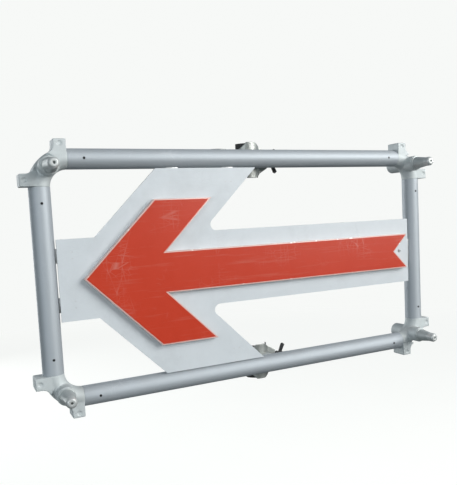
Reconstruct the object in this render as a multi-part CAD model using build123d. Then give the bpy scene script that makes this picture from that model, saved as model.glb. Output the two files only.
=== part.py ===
from build123d import *
import math
import os

# Framed LED arrow board: a round-tube frame with cast stacking corners holds an arrow-shaped board.
# The working frame has the middle of the tube frame at its origin: X to the right seen from the front,
# Z up, and the front facing -Y. The export moves the origin to the pole axis at the lower clamp.
# All sizes are in millimetres.

# ---------------------------------------------------------------- driving dimensions
# Tube frame
FRAME_W = 862.0          # between the axes of the upright tubes
FRAME_H = 438.0          # between the axes of the level tubes
TUBE_R = 19.0
TUBE_WALL = 2.0
SPIGOT_GAP = 0.15        # radial play of a spigot in its tube
SPIGOT_LEN = 45.0

# Corner castings
BEND_R = 50.0            # bend radius of the elbow's centre line
LUG_W = 22.5
LUG_SETBACK = 1.0        # from the lug's straight side to the seam with the tube
LUG_RISE = 15.75         # beyond the tube's surface
LUG_DEPTH = 36.0
LUG_FLARE = 12.0         # how far the flare runs out along the elbow
LUG_ROOT = 6.0           # how far the lug's body runs into the elbow, past the tube axis
RECESS_R = 4.5
RECESS_DEPTH = 1.5
BOSS_R = 17.0
BOSS_FRONT = 38.0        # from the tube axis to the front boss's face
BOSS_REAR = 46.0         # from the tube axis to the socket's mouth
SOCKET_FLOOR = 14.5      # from the tube axis to the bottom of the socket
SCREW_SEAT = 8.0         # and to the bottom of the screw's pocket below it

# Stacking pins
PIN_LAND_R = 10.0
PIN_LAND_LEN = 12.0
PIN_FLANGE_R = 15.5
PIN_BASE_R = 14.0
PIN_TAPER_LEN = 28.0
PIN_FLANGE_T = 3.0
PIN_NOSE_LEN = 4.8
PIN_NOSE_R = 8.2
PIN_EYE_R = 2.4          # blind hole in the nose
SOCKET_PLAY = 0.4        # radial play of a pin in a socket
PIN_SCREW_R = 3.0
PIN_SCREW_HEAD_R = 5.0
PIN_SCREW_HEAD_T = 6.0
PIN_SCREW_GRIP = 16.0    # thread engaged in the pin

# Tube screws
TUBE_SCREW_AT = 79.0     # from the crossing of the tube axes
TUBE_SCREW_R = 2.4
TUBE_SCREW_HEAD_R = 3.7
TUBE_SCREW_HEAD_T = 2.2
TUBE_SCREW_LEN = 12.0

# Board
BOARD_FRONT = 12.0       # the plate's front face lies this far in front of the tube axes
BOARD_T = 3.0
SHEET_T = 0.4
BOARD_PLAY_LEFT = 1.0    # from the left tube's inner side to the board's edge
BOARD_PLAY_RIGHT = 4.5
BOARD_TAB_HALF = 75.0    # half height of the left tab and of the shaft
BOARD_CORNER_R = 12.0

# Arrow
ARROW_TIP_AT = 67.0      # from the left tube's axis
ARROW_TAIL_AT = 42.0     # from the right tube's axis
ARROW_TOP_MARGIN = 61.5  # from the board's top edge to the arrow head
ARROW_BAND = 111.5       # width of the head's bands, measured level
SHAFT_HALF = 37.5
BORDER_SLANT = 53.0      # board left outside the slanted edges, measured level
RIM = 2.6                # pale border round the red film
TRAY_DEPTH = 10.0
TRAY_WALL = 1.6
TRAY_FLOOR = 1.5
SEAL_T = 0.5
FACE_T = 2.0
FILM_T = 0.4

# Fixings of the arrow light, along the head and the shaft
ARROW_SCREW_R = 2.0
ARROW_SCREW_HEAD_R = 3.8
ARROW_SCREW_HEAD_T = 2.4
ARROW_BOSS_R = 4.5
ARROW_BOSS_H = 6.0

# Circuit strips on the tray's floor, with an LED every pitch
STRIP_W = 8.0
STRIP_T = 1.2
STRIP_AT = 20.0          # from the arrow's middle line to a shaft strip's
STRIP_START = 18.0       # and to the inner end of a head strip
STRIP_END_GAP = 12.0     # from a head strip's outer end to the head's level edge
LED_SIZE = 4.0
LED_T = 1.6
LED_PITCH = 22.0

# Brackets between board and frame
BRACKET_T = 3.0
BRACKET_W = 26.0
BRACKET_LEG = 36.0       # how far a bracket runs in behind the board
BRACKET_WRAP = 48.0      # angle that it wraps round the tube, past the inner side
BRACKET_FROM_CORNER = 35.0       # from the board's top left corner to a bracket's middle
BRACKET_FROM_SLANT = 62.0        # and from its top right corner
BRACKET_FROM_CLAMP = 75.0        # least distance from a pole's axis
STILE_BRACKET_Z = 45.0
RIVET_R = 1.6
RIVET_HEAD_R = 3.3
RIVET_HEAD_T = 1.3
RIVET_IN = 7.0           # from a bracket's side to a rivet
RIVET_UP = 8.0           # from a bracket's end to a rivet
END_SCREW_IN = 26.5      # from the board's right end to the visible screw
END_SCREW_R = 2.4
END_NUT_T = 4.0

# Pole clamps
POLE_R = 24.3            # standard 48.6 mm scaffold pole
CLAMP_X = 12.0           # the pole's axis, right of the frame's middle
SEAT_T = 3.0             # least thickness of the spacer between tube and saddle
SEAT_HALF_W = 20.0
SEAT_HALF_H = 17.0
SEAT_HORN = 7.0          # how far the spacer's sides run back round the saddle
LINER_T = 1.5
SADDLE_T = 3.2
SADDLE_HALF_H = 38.0
SPLIT = 2.0              # from the pole's middle plane to each half's edge
EAR_FRONT = 12.0         # the saddle's ear, in front of the pole's middle plane
EAR_TIP_HALF_H = 17.0
EAR_PAST_BOLT = 6.0      # how far the ear runs on past the bolt's pivot
COVER_HALF_H = 27.0
COVER_PLAY = 0.5
COVER_T = 3.2
COVER_OPEN = 120.0       # angle between the closed and the stored cover
COVER_EAR_Y = 10.5
COVER_EAR_T = 4.0
COVER_EAR_PAST_BOLT = 12.0
COVER_EAR_HALF_H = 20.0
COVER_PIN_R = 3.0
KNUCKLE_R = 6.0
KNUCKLE_HALF = 12.0
KNUCKLE_OUT = 7.0        # from the saddle's outside to the cover's pivot
KNUCKLE_FRONT = 3.0      # the cover's pivot, in front of the pole's middle plane
CHEEK_T = 3.2
CHEEK_GAP = 0.4
BOLT_R = 6.0
BOLT_OUT = 11.0          # from the saddle's outside to the bolt's pivot
BOLT_LEN = 46.0
BOLT_SLOT_PLAY = 0.7
BOLT_PIN_R = 4.0
EYE_R = 8.0
EYE_HALF = 6.0
NUT_AT = 16.0
NUT_H = 14.0
WING_R = 27.0
WING_T = 4.5
CLAMP_BOLT_R = 4.0
CLAMP_HEAD_R = 6.5
CLAMP_HEAD_T = 2.3
CLAMP_NUT_R = 7.0
CLAMP_NUT_T = 5.0
PIN_END_T = 1.6          # head at each end of a clamp's pins
PIN_END_LIP = 1.6

# Battery box
BOX_X = 165.0            # middle of the box, right of the frame's middle
BOX_W = 196.0
BOX_H = 92.0
BOX_D = 38.0
BOX_WALL = 2.5
GASKET_T = 1.0
LID_T = 2.5
HINGE_R = 4.5
HINGE_PIN_R = 2.0
HINGE_OUT = 60.0         # from the box's middle to each hinge's
HINGE_W = 18.0
HINGE_EAR_W = 8.0
HINGE_STRAP_T = 3.0
LATCH_W = 30.0
LATCH_R = 3.5
LATCH_T = 2.5
LATCH_PIN_R = 1.5
LATCH_OPEN = 90.0
LATCH_EAR_R = 4.0
LATCH_EAR_T = 3.0
LATCH_PLAY = 0.5
CELL_R = 16.5
CELL_LEN = 61.0
CELL_CAP_R = 4.7
CELL_CAP_T = 1.5
PCB_T = 1.6
PCB_HALF_H = 36.0
PCB_RAISE = 8.0          # from the case's floor to the control board
PCB_POST_R = 3.0
PCB_POST_Z = 28.0
SENSOR_R = 5.0
BUSH_R = 6.0
BUSH_LEN = 9.0
BALL_R = 3.6
LEVER_LEN = 22.0
SWITCH_TILT = 12.0
BOX_SCREW_R = 2.0
BOX_SCREW_HEAD_R = 3.4
BOX_SCREW_HEAD_T = 1.8
BOX_SCREW_Z = 36.0

# Cable from the control board into the arrow light
CABLE_IN = 22.0          # from the box's left side to the cable
CABLE_R = 2.5
GROMMET_R = 5.0
GROMMET_LIP = 2.0

# Running clearance of pins in their holes, and of fixings in theirs
RUN = 0.05
FIX = 0.1

# ---------------------------------------------------------------- values worked out
HALF_W = FRAME_W / 2
HALF_H = FRAME_H / 2
TUBE_INNER_R = TUBE_R - TUBE_WALL
PIN_INSET = BEND_R * (1 - math.cos(math.radians(45)))
SOCKET_R = PIN_LAND_R + SOCKET_PLAY
BOARD_HALF_H = HALF_H - TUBE_R
BOARD_BACK = BOARD_FRONT - BOARD_T
ARROW_HALF_H = BOARD_HALF_H - ARROW_TOP_MARGIN
TIP_X = -HALF_W + ARROW_TIP_AT
TAIL_X = HALF_W - ARROW_TAIL_AT
SADDLE_IN = POLE_R + LINER_T
SADDLE_OUT = SADDLE_IN + SADDLE_T
CLAMP_Y = TUBE_R + SEAT_T + SADDLE_OUT
BOLT_AT = SADDLE_OUT + BOLT_OUT          # the swing bolt's pivot, beside the pole
EAR_REACH = BOLT_AT + EAR_PAST_BOLT
COVER_EAR_REACH = BOLT_AT + COVER_EAR_PAST_BOLT
HINGE_AT = (-(SADDLE_OUT + KNUCKLE_OUT), -KNUCKLE_FRONT)
ORIGIN = (CLAMP_X, CLAMP_Y, -HALF_H)
CORNERS = {
    "top_left": (-1, 1),
    "top_right": (1, 1),
    "bottom_left": (-1, -1),
    "bottom_right": (1, -1),
}
TOWARDS_FRONT = Rot(90, 0, 0)      # turns something built along +Z to point along -Y
TOWARDS_BACK = Rot(-90, 0, 0)      # and along +Y
ALONG_X = Rot(0, 90, 0)

parts = {}


def turned(points):
    """A solid of revolution about Z from (radius, height) points."""
    outline = make_face(Polyline(*[(r, 0, h) for r, h in points], close=True))
    return revolve(outline, axis=Axis.Z)


def plate_xz(points, y_front, thickness):
    """A flat plate whose outline lies in XZ, from y_front back by its thickness."""
    face = make_face(Polyline(*[(x, y_front, z) for x, z in points], close=True))
    return extrude(face, amount=thickness, dir=(0, 1, 0))


def block(x0, x1, y0, y1, z0, z1):
    """A box given by its lowest and highest corners."""
    middle = ((x0 + x1) / 2, (y0 + y1) / 2, (z0 + z1) / 2)
    return Pos(*middle) * Box(x1 - x0, y1 - y0, z1 - z0)


def rod_y(x, z, y0, y1, radius):
    """A cylinder along Y between two values of y."""
    return Pos(x, (y0 + y1) / 2, z) * TOWARDS_FRONT * Cylinder(radius, y1 - y0)


def rod_x(y, z, x0, x1, radius):
    """A cylinder along X between two values of x."""
    return Pos((x0 + x1) / 2, y, z) * ALONG_X * Cylinder(radius, x1 - x0)


def rod_z(x, y, z0, z1, radius):
    """A cylinder along Z between two values of z."""
    return Pos(x, y, (z0 + z1) / 2) * Cylinder(radius, z1 - z0)


def at_corner(solid, corner):
    """Moves something built for the top left corner, about its axis crossing, to a corner."""
    side, level = CORNERS[corner]
    if side > 0:
        solid = mirror(solid, about=Plane.YZ)
    if level < 0:
        solid = mirror(solid, about=Plane.XY)
    return Pos(side * HALF_W, 0, level * HALF_H) * solid


# ---------------------------------------------------------------- corner castings
def lug():
    """The upper lug of the top left casting: straight beside the seam, flared on the other side."""
    straight = BEND_R - LUG_SETBACK
    flared = straight - LUG_W
    top = TUBE_R + LUG_RISE
    foot_x = flared - LUG_FLARE
    foot_z = math.sqrt((BEND_R + TUBE_R) ** 2 - (BEND_R - foot_x) ** 2) - BEND_R - 0.2
    shoulder = (foot_z + top) / 2 + 2.0
    outline = [
        Line((foot_x, foot_z), (straight, -LUG_ROOT)),
        Line((straight, -LUG_ROOT), (straight, top)),
        Line((straight, top), (flared, top)),
        Line((flared, top), (flared, shoulder)),
        TangentArc((flared, shoulder), (foot_x, foot_z), tangent=(0, -1)),
    ]
    body = extrude(Plane.XZ * make_face(outline), amount=LUG_DEPTH / 2, both=True)
    tip_edges = body.edges().filter_by(Axis.Y).sort_by(Axis.Z)[-2:]
    body = fillet(tip_edges, 1.5)
    middle = (straight + flared) / 2
    face = LUG_DEPTH / 2
    return body - rod_y(middle, top - 8.5, -face - 1, -face + RECESS_DEPTH, RECESS_R)


def corner_casting():
    """The top left elbow, about the crossing of the tube axes."""
    start = Plane(origin=(BEND_R, 0, 0), x_dir=(0, 0, 1), z_dir=(1, 0, 0))
    bend_axis = Axis((BEND_R, 0, -BEND_R), (0, -1, 0))
    body = revolve(start * Circle(TUBE_R), axis=bend_axis, revolution_arc=90)
    upper_lug = lug()
    diagonal = Plane(origin=(0, 0, 0), x_dir=(0, 1, 0), z_dir=(1, 0, 1))
    body += upper_lug
    body += mirror(upper_lug, about=diagonal)
    body += rod_y(PIN_INSET, -PIN_INSET, -BOSS_FRONT, BOSS_REAR, BOSS_R)
    spigot_r = TUBE_INNER_R - SPIGOT_GAP
    far = BEND_R + SPIGOT_LEN
    body += rod_x(0, 0, BEND_R - 6, far, spigot_r)
    body += rod_z(0, 0, -far, -BEND_R + 6, spigot_r)
    body -= rod_y(PIN_INSET, -PIN_INSET, SOCKET_FLOOR, BOSS_REAR + 1, SOCKET_R)
    body -= rod_y(PIN_INSET, -PIN_INSET, SCREW_SEAT, SOCKET_FLOOR + 1, PIN_SCREW_HEAD_R + 0.6)
    body -= rod_y(PIN_INSET, -PIN_INSET, -BOSS_FRONT - 1, SCREW_SEAT + 1, PIN_SCREW_R + FIX)
    depth = TUBE_SCREW_LEN + 1
    body -= rod_y(TUBE_SCREW_AT, 0, -TUBE_R, -TUBE_R + depth, TUBE_SCREW_R + FIX)
    body -= rod_y(0, -TUBE_SCREW_AT, -TUBE_R, -TUBE_R + depth, TUBE_SCREW_R + FIX)
    return body


def stacking_pin():
    """A tapered pin with a flange at its foot, a land near its end and a blunt nose, pointing to -Y."""
    land_start = PIN_FLANGE_T + PIN_TAPER_LEN
    land_end = land_start + PIN_LAND_LEN
    nose = land_end + PIN_NOSE_LEN
    body = turned([
        (0, 0),
        (PIN_FLANGE_R, 0),
        (PIN_FLANGE_R, PIN_FLANGE_T),
        (PIN_BASE_R, PIN_FLANGE_T),
        (PIN_LAND_R, land_start),
        (PIN_LAND_R, land_end),
        (PIN_NOSE_R, nose - 1.5),
        (PIN_NOSE_R - 2.0, nose),
        (0, nose),
    ])
    body -= rod_z(0, 0, -1, PIN_SCREW_GRIP + 2, PIN_SCREW_R + FIX)
    body -= rod_z(0, 0, nose - 12, nose + 1, PIN_EYE_R)
    return Pos(PIN_INSET, -BOSS_FRONT, -PIN_INSET) * TOWARDS_FRONT * body


def pin_screw():
    """The cap screw that holds a stacking pin, its head in the pocket below the socket."""
    top = SCREW_SEAT + PIN_SCREW_HEAD_T
    shank = rod_z(0, 0, -BOSS_FRONT - PIN_SCREW_GRIP, SCREW_SEAT, PIN_SCREW_R)
    head = rod_z(0, 0, SCREW_SEAT, top, PIN_SCREW_HEAD_R)
    key = Pos(0, 0, top - 3.0) * extrude(RegularPolygon(2.9, 6), amount=4.0)
    return Pos(PIN_INSET, 0, -PIN_INSET) * TOWARDS_BACK * (shank + head - key)


def tube_screw():
    """A button-head screw pointing to +Y, its head's underside at y = 0."""
    head = turned([
        (0, 0),
        (TUBE_SCREW_HEAD_R, 0),
        (TUBE_SCREW_HEAD_R - 0.4, TUBE_SCREW_HEAD_T * 0.5),
        (TUBE_SCREW_HEAD_R - 1.6, TUBE_SCREW_HEAD_T),
        (0, TUBE_SCREW_HEAD_T),
    ])
    key = Pos(0, 0, TUBE_SCREW_HEAD_T - 1.3) * extrude(RegularPolygon(1.7, 6), amount=3.0)
    return TOWARDS_FRONT * (head - key + rod_z(0, 0, -TUBE_SCREW_LEN, 0, TUBE_SCREW_R))


pin_screws = []
tube_screws = []
for corner in CORNERS:
    parts["corner_" + corner] = at_corner(corner_casting(), corner)
    parts["stacking_pin_" + corner] = at_corner(stacking_pin(), corner)
    pin_screws.append(at_corner(pin_screw(), corner))
    tube_screws.append(at_corner(Pos(TUBE_SCREW_AT, -TUBE_R, 0) * tube_screw(), corner))
    tube_screws.append(at_corner(Pos(0, -TUBE_R, -TUBE_SCREW_AT) * tube_screw(), corner))
parts["pin_screws"] = Compound(children=pin_screws)
parts["tube_screws"] = Compound(children=tube_screws)

# ---------------------------------------------------------------- tubes
rail_half = HALF_W - BEND_R
stile_half = HALF_H - BEND_R


def rail(level):
    """A level tube with holes for its two end screws."""
    z = level * HALF_H
    tube = rod_x(0, z, -rail_half, rail_half, TUBE_R)
    tube -= rod_x(0, z, -rail_half - 1, rail_half + 1, TUBE_INNER_R)
    for side in (-1, 1):
        x = side * (HALF_W - TUBE_SCREW_AT)
        tube -= rod_y(x, z, -TUBE_R - 1, 0, TUBE_SCREW_R + FIX)
    return tube


def stile(side):
    """An upright tube with holes for its two end screws."""
    x = side * HALF_W
    tube = rod_z(x, 0, -stile_half, stile_half, TUBE_R)
    tube -= rod_z(x, 0, -stile_half - 1, stile_half + 1, TUBE_INNER_R)
    for level in (-1, 1):
        z = level * (HALF_H - TUBE_SCREW_AT)
        tube -= rod_y(x, z, -TUBE_R - 1, 0, TUBE_SCREW_R + FIX)
    return tube


parts["rail_top"] = rail(1)
parts["rail_bottom"] = rail(-1)
parts["stile_left"] = stile(-1)
parts["stile_right"] = stile(1)

# ---------------------------------------------------------------- board
board_left = -HALF_W + TUBE_R + BOARD_PLAY_LEFT
board_right = HALF_W - TUBE_R - BOARD_PLAY_RIGHT
slant_left = TIP_X - BORDER_SLANT                    # where the left slant's line meets z = 0
slant_right = TIP_X + ARROW_BAND + BORDER_SLANT      # and the right slant's
SHEET_FRONT = BOARD_FRONT + SHEET_T


def board_outline():
    """The board's outline: a tab, the head's two bands and the shaft."""
    upper = [
        (board_left, BOARD_TAB_HALF),
        (slant_left + BOARD_TAB_HALF, BOARD_TAB_HALF),
        (slant_left + BOARD_HALF_H, BOARD_HALF_H),
        (slant_right + BOARD_HALF_H, BOARD_HALF_H),
        (slant_right + BOARD_TAB_HALF, BOARD_TAB_HALF),
        (board_right, BOARD_TAB_HALF),
    ]
    return upper + [(x, -z) for x, z in reversed(upper)]


def board_layer(y_front, thickness):
    """One layer of the board, with its two inner corners rounded."""
    plate = plate_xz(board_outline(), y_front, thickness)
    notch_x = slant_right + BOARD_TAB_HALF
    inner = []
    for edge in plate.edges().filter_by(Axis.Y):
        spot = edge.center()
        if abs(spot.X - notch_x) < 0.1 and abs(abs(spot.Z) - BOARD_TAB_HALF) < 0.1:
            inner.append(edge)
    return fillet(inner, BOARD_CORNER_R)


# ---------------------------------------------------------------- arrow light
def arrow_outline(grow):
    """The arrow's outline, moved outwards by grow on every side."""
    slant = grow * math.sqrt(2)
    tip = TIP_X - slant
    top = ARROW_HALF_H + grow
    shaft = SHAFT_HALF + grow
    inner_slant = TIP_X + ARROW_BAND + slant
    tail = TAIL_X + grow
    notch = TAIL_X - SHAFT_HALF + slant
    upper = [
        (tip + top, top),
        (inner_slant + top, top),
        (inner_slant + shaft, shaft),
    ]
    if grow > 0:
        upper += [(tail, shaft), (tail, tail - notch)]
    else:
        upper.append((notch + shaft, shaft))
    lower = [(x, -z) for x, z in reversed(upper)]
    return [(tip, 0)] + upper + [(notch, 0)] + lower


tray_front = SHEET_FRONT + TRAY_DEPTH
face_back = tray_front + SEAL_T
face_front = face_back + FACE_T
film_front = face_front + FILM_T

# The light's screws stand along the head's bands and the shaft, clear of the battery box
head_mid = TIP_X + ARROW_BAND / 2
arrow_screw_spots = []
for share in (0.3, 0.8):
    z = share * ARROW_HALF_H
    arrow_screw_spots += [(head_mid + z, z), (head_mid + z, -z)]
for x in (head_mid + 2 * SHAFT_HALF + 120.0, BOX_X - BOX_W / 2 - 16.0, BOX_X + BOX_W / 2 + 36.0):
    arrow_screw_spots.append((x, 0))

board_plate = board_layer(-BOARD_FRONT, BOARD_T)
sheet = board_layer(-SHEET_FRONT, SHEET_T)

tray = plate_xz(arrow_outline(RIM), -tray_front, TRAY_DEPTH)
hollow = plate_xz(arrow_outline(RIM - TRAY_WALL), -tray_front - 1, TRAY_DEPTH - TRAY_FLOOR + 1)
tray -= hollow
floor_front = SHEET_FRONT + TRAY_FLOOR
arrow_screws = []
for x, z in arrow_screw_spots:
    tray += rod_y(x, z, -floor_front - ARROW_BOSS_H, -floor_front, ARROW_BOSS_R)
for x, z in arrow_screw_spots:
    hole = rod_y(x, z, -floor_front - ARROW_BOSS_H - 1, 0, ARROW_SCREW_R + FIX)
    tray -= hole
    sheet -= hole
    board_plate -= hole
    shank = rod_y(x, z, -floor_front - ARROW_BOSS_H + 1, -BOARD_BACK, ARROW_SCREW_R)
    head = rod_y(x, z, -BOARD_BACK, -BOARD_BACK + ARROW_SCREW_HEAD_T, ARROW_SCREW_HEAD_R)
    key = extrude(Plane.XZ * RegularPolygon(1.6, 6), amount=-3.0)
    key = Pos(x, -BOARD_BACK + ARROW_SCREW_HEAD_T / 2, z) * key
    arrow_screws.append(shank + head - key)
parts["arrow_screws"] = Compound(children=arrow_screws)

seal = plate_xz(arrow_outline(RIM - 0.1), -face_back, SEAL_T)
seal -= plate_xz(arrow_outline(RIM - TRAY_WALL + 0.1), -face_back - 1, SEAL_T + 2)
parts["tray_seal"] = seal
parts["arrow_face_plate"] = plate_xz(arrow_outline(RIM), -face_front, FACE_T)
parts["arrow_film"] = plate_xz(arrow_outline(0), -film_front, FILM_T)

strip_front = floor_front + STRIP_T


def led_strip(start, end):
    """A circuit strip between two (x, z) points, and its LEDs."""
    run_x = end[0] - start[0]
    run_z = end[1] - start[1]
    length = math.hypot(run_x, run_z)
    turn = -math.degrees(math.atan2(run_z, run_x))
    place = Pos((start[0] + end[0]) / 2, 0, (start[1] + end[1]) / 2) * Rot(0, turn, 0)
    strip = place * block(-length / 2, length / 2, -strip_front, -floor_front, -STRIP_W / 2, STRIP_W / 2)
    count = int(length // LED_PITCH)
    half = LED_SIZE / 2
    chips = []
    for i in range(count):
        x = (i - (count - 1) / 2) * LED_PITCH
        chip = block(x - half, x + half, -strip_front - LED_T, -strip_front, -half, half)
        chips.append(place * chip)
    return strip, chips


strips = []
leds = []
cable_x = BOX_X - BOX_W / 2 + CABLE_IN
shaft_start = TIP_X + ARROW_BAND + SHAFT_HALF
head_end = ARROW_HALF_H - STRIP_END_GAP
strip_ends = []
for level in (-1, 1):
    for share in (0.25, 0.75):
        foot = TIP_X + share * ARROW_BAND
        inner = (foot + STRIP_START, level * STRIP_START)
        strip_ends.append((inner, (foot + head_end, level * head_end)))
    strip_ends.append(((shaft_start, level * STRIP_AT), (TAIL_X - 32.0, level * STRIP_AT)))
for start, end in strip_ends:
    strip, chips = led_strip(start, end)
    strips.append(strip)
    leds += chips
bridge_half = STRIP_AT - STRIP_W / 2
strips.append(block(
    cable_x - STRIP_W / 2, cable_x + STRIP_W / 2,
    -strip_front, -floor_front,
    -bridge_half, bridge_half,
))
parts["led_strips"] = Compound(children=strips)
parts["leds"] = Compound(children=leds)

# ---------------------------------------------------------------- brackets between board and frame
bracket_back = BOARD_BACK - BRACKET_T
hug_in = TUBE_R + FIX
hug_out = hug_in + BRACKET_T


def bracket(width):
    """A bracket below a tube along X whose axis is the origin; the board is at its lower front."""
    ring = Circle(hug_out) - Circle(hug_in)
    far = 2 * hug_out
    lead = math.degrees(math.asin((BOARD_BACK - BRACKET_T / 2) / hug_out))
    wedge = [(0, 0)]
    for angle in (-90 - lead, -90 + BRACKET_WRAP):
        wedge.append((far * math.cos(math.radians(angle)), far * math.sin(math.radians(angle))))
    arc = ring & make_face(Polyline(*wedge, close=True))
    reach = math.sqrt(hug_in ** 2 - (BOARD_BACK - BRACKET_T / 2) ** 2)
    leg_end = -TUBE_R - BRACKET_LEG
    leg = Rectangle(BRACKET_T, -leg_end - reach)
    leg = Pos(-(BOARD_BACK + bracket_back) / 2, (leg_end - reach) / 2) * leg
    leg -= Circle(hug_in)
    return extrude(Plane.YZ * (arc + leg), amount=width / 2, both=True)


def rivet(grip):
    """A dome-head rivet along -Z from its head at z = 0."""
    head = turned([
        (0, 0),
        (RIVET_HEAD_R, 0),
        (RIVET_HEAD_R - 0.7, RIVET_HEAD_T * 0.7),
        (RIVET_HEAD_R - 2.0, RIVET_HEAD_T),
        (0, RIVET_HEAD_T),
    ])
    return head + rod_z(0, 0, -grip, 0, RIVET_R)


def bracket_rivets(width):
    """A bracket's rivets, each as (place, grip, in the board): two in the board, two in the tube."""
    spots = []
    for side in (-1, 1):
        x = side * (width / 2 - RIVET_IN)
        board_spot = Pos(x, -bracket_back, -TUBE_R - BRACKET_LEG + RIVET_UP) * TOWARDS_BACK
        spots.append((board_spot, BRACKET_T + BOARD_T, True))
        tube_spot = Rot(BRACKET_WRAP - 14, 0, 0) * Pos(x, 0, -hug_out) * Rot(180, 0, 0)
        spots.append((tube_spot, BRACKET_T + TUBE_WALL + 1.5, False))
    return spots


rivets = []


def fit_bracket(place, width, tube, board, riveted=True):
    """A bracket at a place with its rivets, and the tube and the board drilled for them."""
    body = place * bracket(width)
    for spot, grip, in_board in bracket_rivets(width):
        if in_board and not riveted:
            continue
        rivets.append(place * spot * rivet(grip))
        drill = place * spot * rod_z(0, 0, -grip - 0.5, 0.5, RIVET_R + FIX)
        body -= drill
        if in_board:
            board -= drill
        else:
            parts[tube] = parts[tube] - drill
    return body, board


top_left_x = slant_left + BOARD_HALF_H
top_right_x = slant_right + BOARD_HALF_H
rail_bracket_right = min(top_right_x - BRACKET_FROM_SLANT, CLAMP_X - BRACKET_FROM_CLAMP)
rail_brackets = []
stile_brackets = []
for tube, level in (("rail_top", 1), ("rail_bottom", -1)):
    for x in (top_left_x + BRACKET_FROM_CORNER, rail_bracket_right):
        place = Pos(x, 0, level * HALF_H)
        if level < 0:
            place = place * Rot(0, 180, 0)
        body, board_plate = fit_bracket(place, BRACKET_W, tube, board_plate)
        rail_brackets.append(body)
for z in (-STILE_BRACKET_Z, STILE_BRACKET_Z):
    place = Pos(-HALF_W, 0, z) * Rot(0, -90, 0)
    body, board_plate = fit_bracket(place, BRACKET_W, "stile_left", board_plate)
    stile_brackets.append(body)
place = Pos(HALF_W, 0, 0) * Rot(0, 90, 0)
body, board_plate = fit_bracket(place, 2 * BRACKET_W, "stile_right", board_plate, riveted=False)

# The one fixing that shows: a button screw in the arrow's tail notch, with its nut behind
end_x = board_right - END_SCREW_IN
end_drill = rod_y(end_x, 0, -SHEET_FRONT - 1, 0, END_SCREW_R + FIX)
stile_brackets.append(body - end_drill)
end_nut_back = -bracket_back + END_NUT_T
end_head = turned([(0, 0), (4.2, 0), (3.7, 1.3), (2.2, 2.2), (0, 2.2)])
end_head -= Pos(0, 0, 1.0) * extrude(RegularPolygon(1.7, 6), amount=3.0)
end_bolt = Pos(end_x, -SHEET_FRONT, 0) * TOWARDS_FRONT * end_head
end_bolt += rod_y(end_x, 0, -SHEET_FRONT, end_nut_back + 1.5, END_SCREW_R)
end_nut = extrude(RegularPolygon(4.6, 6) - Circle(END_SCREW_R + RUN), amount=END_NUT_T)
end_nut = Pos(end_x, -bracket_back, 0) * TOWARDS_BACK * end_nut
parts["end_screw"] = Compound(children=[end_bolt, end_nut])

board_plate -= end_drill
sheet -= end_drill

# ---------------------------------------------------------------- battery and control box
box_left = BOX_X - BOX_W / 2
box_right = BOX_X + BOX_W / 2
box_top = BOX_H / 2
box_front = -BOARD_BACK
box_back = box_front + BOX_D
wall = BOX_WALL
hinge_y = box_back + GASKET_T
hinge_z = box_top + HINGE_R + 1.0
lid_back = box_back + GASKET_T + LID_T

case = block(box_left, box_right, box_front, box_back, -box_top, box_top)
inside_top = box_top - wall
case -= block(box_left + wall, box_right - wall, box_front + wall, box_back + 1, -inside_top, inside_top)

# The cells lie in two rows of two; a rib parts them from the control board
cells_left = box_right - wall - 4.0 - 2 * CELL_LEN - 6.0
rib_x = cells_left - 5.0
case += block(rib_x - 1.0, rib_x + 1.0, box_front + 1, box_back - 4, -box_top + 1, box_top - 1)

hinge_xs = (BOX_X - HINGE_OUT, BOX_X + HINGE_OUT)
ear_start = HINGE_W / 2 + CHEEK_GAP


def knuckle(x0, x1, foot_z, foot_y0, foot_y1):
    """A hinge knuckle with the strap that ties it to its shell."""
    body = rod_x(hinge_y, hinge_z, x0, x1, HINGE_R)
    body += block(x0, x1, foot_y0, foot_y1, foot_z, hinge_z)
    return body - rod_x(hinge_y, hinge_z, x0 - 1, x1 + 1, HINGE_PIN_R + RUN)


lid = block(box_left, box_right, box_back + GASKET_T, lid_back, -box_top, box_top)
hinge_pins = []
for x in hinge_xs:
    for side in (-1, 1):
        inner = x + side * ear_start
        outer = inner + side * HINGE_EAR_W
        ear_foot = hinge_y - HINGE_R
        ear_ends = min(inner, outer), max(inner, outer)
        case += knuckle(*ear_ends, box_top - 1.0, ear_foot, ear_foot + HINGE_STRAP_T)
    lid += knuckle(x - HINGE_W / 2, x + HINGE_W / 2, box_top - 1.0, hinge_y, hinge_y + LID_T)
    half = ear_start + HINGE_EAR_W + 1.0
    hinge_pins.append(rod_x(hinge_y, hinge_z, x - half, x + half, HINGE_PIN_R))
parts["lid_hinge_pins"] = Compound(children=hinge_pins)

gasket_top = box_top - 0.4
gasket_back = box_back + GASKET_T - 0.1
gasket = block(box_left + 0.4, box_right - 0.4, box_back, gasket_back, -gasket_top, gasket_top)
gasket -= block(
    box_left + wall - 0.4, box_right - wall + 0.4,
    box_back - 1, box_back + GASKET_T + 1,
    -box_top + wall - 0.4, box_top - wall + 0.4,
)
parts["lid_gasket"] = gasket

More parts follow.
